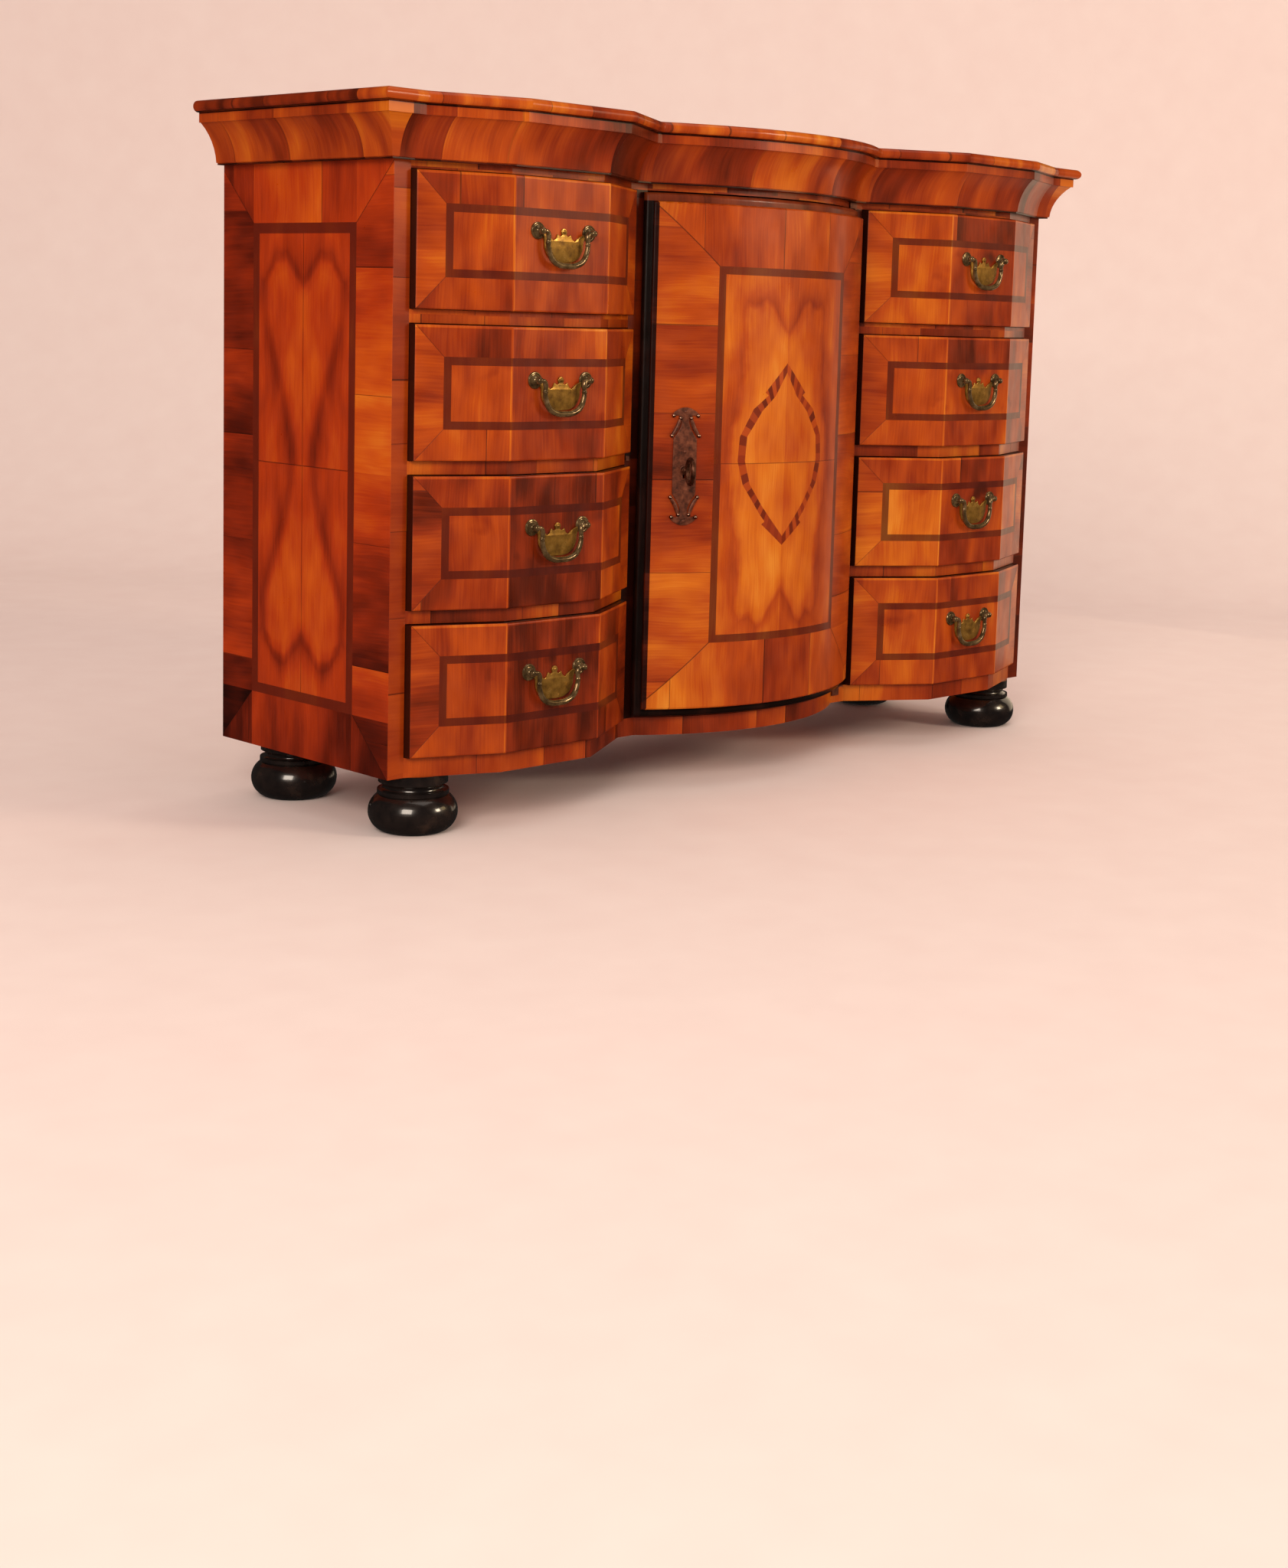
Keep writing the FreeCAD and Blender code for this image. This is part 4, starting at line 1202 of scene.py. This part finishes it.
class DarkMoulding(Walnut):
    """Dark stained moulding round the door: red-brown where lit, with painted shade black at the lock's side and
    foot.
    """

    name = "dark stained moulding"
    seed = 5.0
    # Painted shade: black at the lock's side and along the foot.
    lock_side = -150.0
    head_z = 582.0
    foot_z = 45.0
    black_shade_light = -0.5
    tones = ((0.0, "#140603"), (0.3, "#3a1409"), (0.5, "#702c12"), (0.8, "#92431a"), (1.0, "#a8561f"))

    def shade(self, tree: Tree) -> Look:
        """Draw straight-grained dark wood, with painted shade black at the lock's side and along the foot.

        Args:
            tree: material's node tree.

        Returns:
            Colour, roughness and height in millimetres.
        """
        x, _, z = self.places(tree)
        below_head = add(tree, "LESS_THAN", z, self.head_z)
        side = add(tree, "MULTIPLY", add(tree, "LESS_THAN", x, self.lock_side), below_head)
        black = add(tree, "MAXIMUM", side, add(tree, "LESS_THAN", z, self.foot_z))
        tone = shaded(tree, self.grain(tree, x, z, self.seed), (black, self.black_shade_light))
        return self.polished(tree, tone, None, None)


@dataclass(frozen=True)
class Timber:
    """Bare wood of the inside: its name and its tones."""

    name: str
    dark: str
    mid: str
    light: str


class BareWood(Walnut):
    """Old bare wood of the inside and the back: dry, matt and dulled by dust."""

    coat = 0.0
    fibre = Streak(1.9, 120.0, 0.6, 2.0)
    seed = 8.0
    dullness = 0.78
    light_shine = -0.12
    fibre_h = 0.12

    def __init__(self, timber: Timber, upright: bool) -> None:
        """Keep the timber, and whether its grain runs up or across.

        Args:
            timber: name and tones of the wood.
            upright: whether the grain runs up.
        """
        self.name = timber.name + (" upright" if upright else " level")
        self.tones = ((0.1, timber.dark), (0.5, timber.mid), (0.9, timber.light))
        self.upright = upright

    def shade(self, tree: Tree) -> Look:
        """Draw dry fibres with no polish.

        Args:
            tree: material's node tree.

        Returns:
            Colour, roughness and height in millimetres.
        """
        x, y, z = self.places(tree)
        along, aside = (z, x) if self.upright else (x, z)
        tone = self.grain(tree, add(tree, "ADD", aside, y), along, self.seed)
        colour = add(tree, "ValToRGB", tone, stops=self.tones)
        roughness = add(tree, "MULTIPLY_ADD", tone, self.light_shine, self.dullness)
        return colour, roughness, add(tree, "MULTIPLY", tone, self.fibre_h)


class Mottled(Finish):
    """A finish mottled in soft patches, with a relief of its own. Widths and heights are in millimetres."""

    tones: Stops = ()
    patch_w = 9.0
    patch_detail = 4.0
    patch_mix = 0.5
    patch_dulling = 0.3
    dullness = 0.12
    pit_w = 1.6
    pit_detail = 2.0
    pit_h = 0.05

    def relief(self, tree: Tree) -> Socket:
        """Height of the surface."""
        pits = add(tree, "TexNoise", self.spot(tree), None, 1 / self.pit_w, self.pit_detail)
        return add(tree, "MULTIPLY", pits, self.pit_h)

    def shade(self, tree: Tree) -> Look:
        """Draw the patches and the relief.

        Args:
            tree: material's node tree.

        Returns:
            Colour, roughness and height in millimetres.
        """
        spot = self.spot(tree)
        patches = add(tree, "TexNoise", spot, None, 1 / self.patch_w, self.patch_detail, self.patch_mix)
        colour = add(tree, "ValToRGB", patches, stops=self.tones)
        roughness = add(tree, "MULTIPLY_ADD", patches, self.patch_dulling, self.dullness)
        return colour, roughness, self.relief(tree)


class EbonisedWood(Mottled):
    """Turned wood under black polish: soft gloss, a little brown and faint turning marks."""

    name = "ebonised turned wood"
    coat = 0.85
    tones = ((0.35, "#141010"), (0.62, "#231b18"), (0.85, "#3a2a20"))
    patch_w = 14.0
    patch_dulling = 0.25
    ring_w = 1.3
    ring_h = 0.03

    def relief(self, tree: Tree) -> Socket:
        """Height of the turning marks.

        Args:
            tree: material's node tree.

        Returns:
            Height in millimetres.
        """
        z = self.places(tree)[2]
        rings = add(tree, "TexNoise", None, z, 1 / self.ring_w, 1.0, noise_dimensions="1D")
        return add(tree, "MULTIPLY", rings, self.ring_h)


class AgedBrass(Mottled):
    """Old cast brass: golden where hands rub it, olive-brown in the hollows."""

    name = "aged cast brass"
    metallic = 0.7
    tones = ((0.3, "#765424"), (0.5, "#a97f36"), (0.68, "#c99b4c"), (0.85, "#e2bf78"))
    patch_mix = 0.6
    patch_dulling = -0.3
    dullness = 0.46


class BrownBronze(AgedBrass):
    """Cast brass gone dark brown where it is handled, glossy, with a thin bright line in the light."""

    name = "browned cast brass"
    metallic = 0.6
    tones = ((0.3, "#41321f"), (0.5, "#6a5638"), (0.68, "#937c58"), (0.85, "#bda682"))
    dullness = 0.3


class BrownIron(Mottled):
    """Wrought iron with a rust-brown skin, filed smooth and worn bright on what stands proud."""

    name = "brown patinated iron"
    metallic = 0.3
    tones = ((0.3, "#351a10"), (0.5, "#663420"), (0.72, "#8a4e33"))
    patch_w = 7.0
    patch_mix = 0.65
    dullness = 0.32
    pit_w = 1.4
    pit_detail = 3.0
    pit_h = 0.07


class DarkIron(BrownIron):
    """Iron of the key: dark brown, with a soft shine where it is handled."""

    name = "dark handled iron"
    metallic = 0.8
    tones = ((0.3, "#2a160e"), (0.5, "#54301f"), (0.72, "#8e6450"))


class BurnishedIron(Mottled):
    """Ball tips of the lock plate, rubbed bright."""

    name = "burnished iron"
    metallic = 1.0
    tones = ((0.3, "#6b4a3c"), (0.7, "#b89684"))
    patch_w = pit_w = 3.0
    patch_detail = pit_detail = 3.0
    patch_dulling = 0.2
    pit_h = 0.02


class Backdrop(Mottled):
    """Plain pale paper under and behind the cabinet, barely mottled."""

    name = "pale paper"
    tones = ((0.2, "#f3e2df"), (0.8, "#f6e7e4"))
    patch_w = pit_w = 60.0
    patch_detail = pit_detail = 2.0
    patch_dulling = 0.1
    dullness = 0.8
    pit_h = 0.02


PINE = Timber("old pine", "#5a3a1e", "#8a6038", "#ad8354")
OAK = Timber("old oak", "#4c301a", "#7d5632", "#a07a4c")


class Slot(Enum):
    """The record's material slots."""

    WALNUT = "walnut_veneer"
    MOULDING = "walnut_moulding"
    DARK = "dark_moulding"
    EBONISED = "ebonised_wood"
    PINE = "pine"
    OAK = "oak"
    BRASS = "brass"
    IRON = "iron"


@dataclass
class DrawerPull:
    """Brass handle of a drawer: two turned rosettes with posts, a horned shield between them and a bail.

    Sizes are in millimetres. A turned profile is radius and distance from the face. The shield's right
    half is X, Z and whether the line turns a sharp corner there. The bail's right half is X, Z and radius.
    """

    post_pitch: float = 68.0
    pin_reach: float = 7.8
    plate_t: float = 1.8
    plate_soft: float = 0.45
    post: Profile = (
        (0.0, 0.0),
        (8.6, 0.0),
        (8.6, 0.9),
        (8.1, 1.6),
        (7.3, 1.8),
        (6.7, 1.3),
        (5.9, 1.2),
        (5.0, 1.7),
        (4.1, 2.6),
        (3.2, 3.1),
        (2.7, 3.8),
        (3.0, 4.6),
        (3.5, 5.9),
        (3.7, 7.8),
        (3.4, 9.4),
        (2.5, 10.7),
        (1.3, 11.4),
        (0.0, 11.6),
    )
    shield: Outline = (
        (0.0, 3.6, False),
        (3.7, 0.4, False),
        (2.7, -2.6, True),
        (5.0, -4.2, False),
        (8.6, -2.4, True),
        (10.8, -6.6, False),
        (14.4, -8.6, True),
        (18.6, -5.4, False),
        (27.2, -1.4, True),
        (27.6, -5.0, True),
        (25.8, -9.6, False),
        (24.8, -17.0, False),
        (17.6, -26.6, False),
        (0.0, -30.0, False),
    )
    boss: Profile = ((0.0, 1.2), (2.0, 1.2), (2.0, 1.9), (1.4, 2.7), (0.0, 3.1))
    boss_steps: int = 20
    boss_rise: float = 0.2
    half_bail: Sequence[tuple[float, float, float]] = (
        (36.5, 0.0, 1.9),
        (31.0, 0.0, 2.0),
        (27.6, -0.9, 2.3),
        (26.1, -4.0, 2.6),
        (26.2, -10.2, 2.3),
        (26.3, -11.6, 2.9),
        (26.3, -13.0, 2.4),
        (25.4, -18.5, 2.7),
        (20.5, -27.6, 3.0),
        (11.0, -32.6, 3.1),
    )
    grip_drop: float = 33.5
    grip_r: float = 3.1

    def rosettes_and_shield(self) -> Piece:
        """The fixed brasses, from the drawer's face and the middle of the pins' line.

        Returns:
            The joined brasses.
        """
        post = finished(turned(self.post), BrownBronze())
        shield = finished(sawn([both_sides(self.shield)], self.plate_t, self.plate_soft), AgedBrass())
        boss = finished(turned(self.boss, self.boss_steps), AgedBrass())
        put(boss, Matrix.Translation((0, 0, self.boss_rise * MM)))
        half = self.post_pitch / 2 * MM
        other = copied(post, Matrix.Translation((half, 0, 0)))
        put(post, Matrix.Translation((-half, 0, 0)))
        return joined("drawer brasses", [shield, post, other, boss])

    def bail(self) -> Piece:
        """The bail, from the line of its pins: thin at the pins, a bead on each arm, thick at the grip.

        Returns:
            The bail.
        """
        right = [(x, 0.0, z) for x, z, _ in self.half_bail]
        left = [(-x, 0.0, z) for x, _, z in reversed(right)]
        radii = [radius for _, _, radius in self.half_bail]
        rod = drawn([*right, (0.0, 0.0, -self.grip_drop), *left], [*radii, self.grip_r, *reversed(radii)])
        return joined("bail", [finished(rod, BrownBronze())])

    def build(self) -> None:
        """Model one handle and one bail and copy them to every drawer."""
        brasses = self.rosettes_and_shield()
        bail = self.bail()
        for node in [name for name in frame["nodes"] if name.endswith("_bail")]:
            pin = Vector(joint_of(node)["pos_m"])
            face = pin + Vector((0, self.pin_reach * MM, 0))
            handle = node.replace("_bail", "_handle")
            fitted(copied(brasses, Matrix.Translation(face)), handle)
            fitted(copied(bail, Matrix.Translation(pin)), node)
        for first in (brasses, bail):
            bpy.data.objects.remove(first)


@dataclass
class DoorLock:
    """Iron lock plate with crescents, scrolls and ball tips, and its key.

    Sizes are in millimetres and turns in radians. The plate's quarter is X, Z and whether the line turns a
    sharp corner there, a scroll is X, distance towards the viewer and Z, and the bit is width, length and
    height.
    """

    plate_t: float = 1.7
    plate_rise: float = 4.0
    sink: float = 0.35
    ball_r: float = 2.3
    bow_stand: float = 21.6
    bow_half_h: float = 13.2
    bow_half_d: float = 10.6
    bow_wire: float = 2.5
    shank_r: float = 3.0
    tip_depth: float = 29.0
    bit: tuple[float, float, float] = (2.6, 7.0, 8.5)
    plate_soft: float = 0.5
    plate_quarter: Outline = (
        (0.0, 64.0, False),
        (9.0, 61.4, False),
        (14.6, 55.6, False),
        (13.6, 53.8, True),
        (8.4, 55.2, False),
        (4.6, 52.4, True),
        (4.3, 47.0, False),
        (7.8, 38.0, False),
        (13.2, 30.0, True),
        (13.5, 0.0, False),
    )
    scroll: Route = (
        (6.0, 1.5, 52.4),
        (7.3, 1.3, 48.2),
        (9.6, 1.3, 42.4),
        (12.8, 1.3, 36.8),
        (15.4, 1.5, 33.4),
    )
    scroll_radii: tuple[float, ...] = (1.5, 2.2, 2.4, 2.2, 1.5)
    crescent_tip: tuple[float, float, float] = (13.9, 1.8, 55.0)
    ball_turns: tuple[float, ...] = (0.6, 1.1, 1.57, 2.1, 2.6, 3.14)
    ball_steps: int = 20
    collar_r: float = 4.6
    collar_reach: float = 1.6
    collar_turns: tuple[float, ...] = (-1.9, -1.2, -0.4, 0.4, 1.2, 1.9)
    collar_radii: tuple[float, ...] = (0.7, 0.9, 1.0, 1.0, 0.9, 0.7)
    nail: Profile = ((0.0, 0.0), (1.7, 0.0), (1.6, 0.5), (1.0, 0.9), (0.0, 1.1))
    nail_steps: int = 16
    nails: tuple[float, ...] = (59.4, 16.0, -59.4)
    shank_play: float = 0.3
    bit_play: float = 0.5
    bit_soft: float = 0.3
    bow_knots: int = 8

    def place(self) -> Matrix:
        """Where the keyhole is, looking out along the key.

        Returns:
            Place and turn of the lock.
        """
        joint = joint_of("key")
        out = Vector(joint["axis"])
        right = Vector((-out.y, out.x, 0))
        turn = Matrix((right, -out, Vector((0, 0, 1)))).transposed().to_4x4()
        return Matrix.Translation(joint["pos_m"]) @ turn

    def outline(self) -> Outline:
        """Outline of the plate, from the quarter at its upper right."""
        lower = [(x, -z, sharp) for x, z, sharp in reversed(self.plate_quarter[:-1])]
        return both_sides([*self.plate_quarter, *lower])

    def keyhole(self) -> Outline:
        """Outline of the keyhole, from the middle of the plate.

        Returns:
            The closed line.
        """
        r = self.shank_r + self.shank_play
        slot = self.bit[0] / 2 + self.bit_play
        foot = -self.bit[2] - self.bit_play
        half = [(0.0, r, False), (r, 0.0, False), (slot, 2 * self.shank_play - r, True), (slot, foot, True)]
        return [(x, z - self.plate_rise, sharp) for x, z, sharp in both_sides(half)]

    def build_plate(self) -> None:
        """Saw the plate, lay the scrolls and set the balls and nails."""
        plate = finished(sawn([self.outline(), self.keyhole()], self.plate_t, self.plate_soft), BrownIron())
        arc = [(self.ball_r * math.sin(a), -self.ball_r * math.cos(a)) for a in self.ball_turns]
        ball = finished(turned([(0.0, arc[0][1]), *arc], self.ball_steps), BurnishedIron())
        nail = finished(turned(self.nail, self.nail_steps), BrownIron())
        rim = [
            (self.collar_r * math.sin(a), self.collar_reach, self.collar_r * math.cos(a))
            for a in self.collar_turns
        ]
        collar = finished(drawn(rim, self.collar_radii), BrownIron())
        pieces = [plate, put(collar, Matrix.Translation((0, 0, -self.plate_rise * MM)))]
        scroll = finished(drawn(self.scroll, self.scroll_radii), BrownIron())
        ends = (self.scroll[0], self.scroll[-1], self.crescent_tip)
        tips = [Vector((x, -reach, z)) for x, reach, z in ends]
        for side in (1, -1):
            for end in (1, -1):
                flip = Matrix.Diagonal((side, 1, end, 1))
                pieces.append(copied(scroll, flip))
                pieces += [copied(ball, Matrix.Translation(flip @ tip * MM)) for tip in tips]
        pieces += [copied(nail, Matrix.Translation((0, -self.plate_t * MM, z * MM))) for z in self.nails]
        for first in (scroll, ball, nail):
            bpy.data.objects.remove(first)
        whole = joined("lock plate", pieces)
        bpy.ops.object.mode_set(mode="EDIT")
        close_up()
        up = Matrix.Translation((0, self.sink * MM, self.plate_rise * MM))
        fitted(put(whole, self.place() @ up), "lock_plate")

    def build_key(self) -> None:
        """Draw the bow, turn the shank with its collar and cut the bit."""
        ring = [
            (0.0, self.bow_stand + self.bow_half_d * math.cos(a), self.bow_half_h * math.sin(a))
            for a in (2 * math.pi / self.bow_knots * n for n in range(self.bow_knots))
        ]
        bow = drawn(ring, [self.bow_wire] * self.bow_knots, closed=True)
        foot = self.bow_stand - self.bow_half_d
        shank = turned(
            (
                (0.0, -self.tip_depth),
                (self.shank_r - 0.4, -self.tip_depth),
                (self.shank_r, 0.6 - self.tip_depth),
                (self.shank_r, 3.0),
                (4.4, 3.4),
                (4.7, 4.4),
                (4.2, 5.4),
                (3.2, 6.0),
                (3.0, foot - 2.6),
                (4.0, foot - 1.6),
                (4.0, foot - 0.6),
                (2.8, foot + 0.6),
                (0.0, foot + 1.0),
            )
        )
        bpy.ops.object.select_all(action="DESELECT")
        bpy.ops.mesh.primitive_cube_add(size=MM)
        bit = bpy.context.object
        bit.scale = self.bit
        bit.location = (0, (self.tip_depth - self.bit[1] / 2) * MM, -self.bit[2] / 2 * MM)
        bpy.ops.object.transform_apply()
        bpy.ops.object.mode_set(mode="EDIT")
        bpy.ops.mesh.bevel(offset=self.bit_soft * MM, segments=2, affect="EDGES")
        close_up()
        whole = joined("key", [finished(piece, DarkIron()) for piece in (shank, bow, bit)])
        fitted(put(whole, self.place()), "key")


@dataclass
class Cabinet:
    """The solids of the cabinet that stay as they are and take better finishes."""

    upright_pine: tuple[str, ...] = ("back_boards", "left_partition", "right_partition")

    def finish_of(self, node: str, slot: Slot) -> Finish:
        """The finish of one solid.

        Args:
            node: name of the solid.
            slot: its material slot in the record.

        Returns:
            The finish that it takes.
        """
        if slot is Slot.WALNUT:
            if node.endswith("_front"):
                return DrawerWalnut()
            if node == "door_panel":
                return DoorWalnut()
            if node == "top_panel":
                return TopWalnut()
            return CaseWalnut()
        if slot is Slot.PINE:
            return BareWood(PINE, node in self.upright_pine)
        return {
            Slot.MOULDING: MouldingWalnut(),
            Slot.DARK: DarkMoulding(),
            Slot.EBONISED: EbonisedWood(),
            Slot.OAK: BareWood(OAK, False),
            Slot.BRASS: AgedBrass(),
            Slot.IRON: BrownIron(),
        }[slot]

    def dress(self) -> None:
        """Give every solid its finish."""
        for part in frame["record"]["subparts"]:
            node = part["node"]
            finished(frame["nodes"][node], self.finish_of(node, Slot(part["material_slot"])))
            LOG.info("solid %s", node)


@dataclass(frozen=True)
class Lamp:
    """A square soft light, in metres and watts; one that doesn't light the room only shows in the polish."""

    name: str
    place: tuple[float, float, float]
    target: tuple[float, float, float]
    size: float
    power: float
    colour: str
    lights_room: bool


@dataclass
class Studio:
    """Swept backdrop, lights and camera: metres and degrees, but lens, sensor and paper_merge in mm."""

    eye: tuple[float, float, float] = (-1.814, -1.77951, 0.5234)
    yaw: float = 46.86
    pitch: float = 7.25
    roll: float = 1.85
    lens: float = 49.909
    shift: tuple[float, float] = (-0.05952, -0.12241)
    floor_half: float = 10.0
    floor_behind: float = 1.5
    sweep_r: float = 0.9
    wall_h: float = 4.0
    sweep_steps: int = 24
    paper_merge: float = 0.1
    sensor: float = 36.0
    lamps: tuple[Lamp, ...] = (
        Lamp("left window", (-3.6, -2.3, 2.2), (-0.2, -0.1, 0.4), 1.9, 118.0, "#ffeedd", True),
        Lamp("right window", (1.9, -3.7, 1.8), (0.0, -0.1, 0.4), 0.9, 58.0, "#ffe9cc", True),
        Lamp("right card", (1.5, 0.02, 0.42), (0.4, -0.1, 0.36), 1.0, 2.6, "#ffe4c2", False),
        Lamp("front card", (1.45, -1.55, 0.98), (0.0, -0.2, 0.6), 0.6, 2.5, "#ffdc9c", False),
        Lamp("ceiling", (0.2, -0.4, 3.2), (0.0, 0.0, 0.4), 2.2, 15.0, "#fff2e6", True),
    )
    sky_tone: str = "#fbeae0"
    sky: float = 0.52
    mirrored_sky: float = 0.025

    def build_backdrop(self) -> None:
        """Pale paper that lies under the cabinet and sweeps up behind it, square to the camera."""
        bpy.ops.object.select_all(action="DESELECT")
        bpy.ops.mesh.primitive_plane_add(size=2 * self.floor_half)
        paper = bpy.context.object
        paper.name = "paper"
        bpy.ops.object.mode_set(mode="EDIT")
        bpy.ops.transform.translate(value=(0, self.floor_behind - self.floor_half, 0))
        select_where(paper, lambda co: co.y > 0)
        middle = (0, self.floor_behind, self.sweep_r)
        bpy.ops.mesh.spin(steps=self.sweep_steps, angle=-math.pi / 2, center=middle, axis=(1, 0, 0))
        bpy.ops.mesh.extrude_region_move(TRANSFORM_OT_translate={"value": (0, 0, self.wall_h)})
        close_up(self.paper_merge)
        paper.rotation_euler.z = -math.radians(self.yaw)
        bpy.ops.object.transform_apply(location=False)
        bpy.ops.object.shade_smooth()
        finished(paper, Backdrop())
        paper.visible_glossy = False

    def build_lights(self) -> None:
        """Windows at the left and the right front, pale cards in the polish, and light from all round."""
        for lamp in self.lamps:
            light = bpy.data.lights.new(lamp.name, "AREA")
            light.size = lamp.size
            light.energy = lamp.power
            light.color = linear(lamp.colour)[:3]
            holder = bpy.data.objects.new(lamp.name, light)
            holder.location = lamp.place
            holder.visible_camera = holder.visible_diffuse = lamp.lights_room
            aim = Vector(lamp.target) - Vector(lamp.place)
            holder.rotation_euler = aim.to_track_quat("-Z", "Y").to_euler()
            bpy.context.scene.collection.objects.link(holder)
        world = bpy.data.worlds.new("studio")
        world.use_nodes = True
        tree = world.node_tree
        tree.nodes.clear()
        mirrored = add(tree, "LightPath", out="Is Glossy Ray")
        strength = add(tree, "Mix", mirrored, None, self.sky, self.mirrored_sky)
        sky = add(tree, "Background", linear(self.sky_tone), strength)
        add(tree, "OutputWorld", sky)
        bpy.context.scene.world = world

    def build_camera(self) -> None:
        """Camera at the photograph's place and tilt."""
        yaw, pitch, roll = [math.radians(a) for a in (self.yaw, self.pitch, self.roll)]
        ahead = Vector((math.sin(yaw) * math.cos(pitch), math.cos(yaw) * math.cos(pitch), -math.sin(pitch)))
        right = Vector((math.cos(yaw), -math.sin(yaw), 0))
        up = right.cross(ahead)
        side = right * math.cos(roll) + up * math.sin(roll)
        top = up * math.cos(roll) - right * math.sin(roll)
        camera = bpy.data.objects.new("camera", bpy.data.cameras.new("camera"))
        camera.data.lens = self.lens
        camera.data.sensor_width = self.sensor
        camera.data.shift_x, camera.data.shift_y = self.shift
        turn = Matrix((side, top, -ahead)).transposed().to_4x4()
        camera.matrix_world = Matrix.Translation(self.eye) @ turn
        bpy.context.scene.collection.objects.link(camera)
        bpy.context.scene.camera = camera
        bpy.context.scene.view_settings.view_transform = "Standard"


def main() -> None:
    """Build the cabinet's looks and the studio round it."""
    logging.basicConfig(level=logging.INFO, format="%(name)s: %(message)s")
    Cabinet().dress()
    DrawerPull().build()
    lock = DoorLock()
    lock.build_plate()
    lock.build_key()
    studio = Studio()
    studio.build_backdrop()
    studio.build_lights()
    studio.build_camera()


if __name__ == "__main__":
    main()
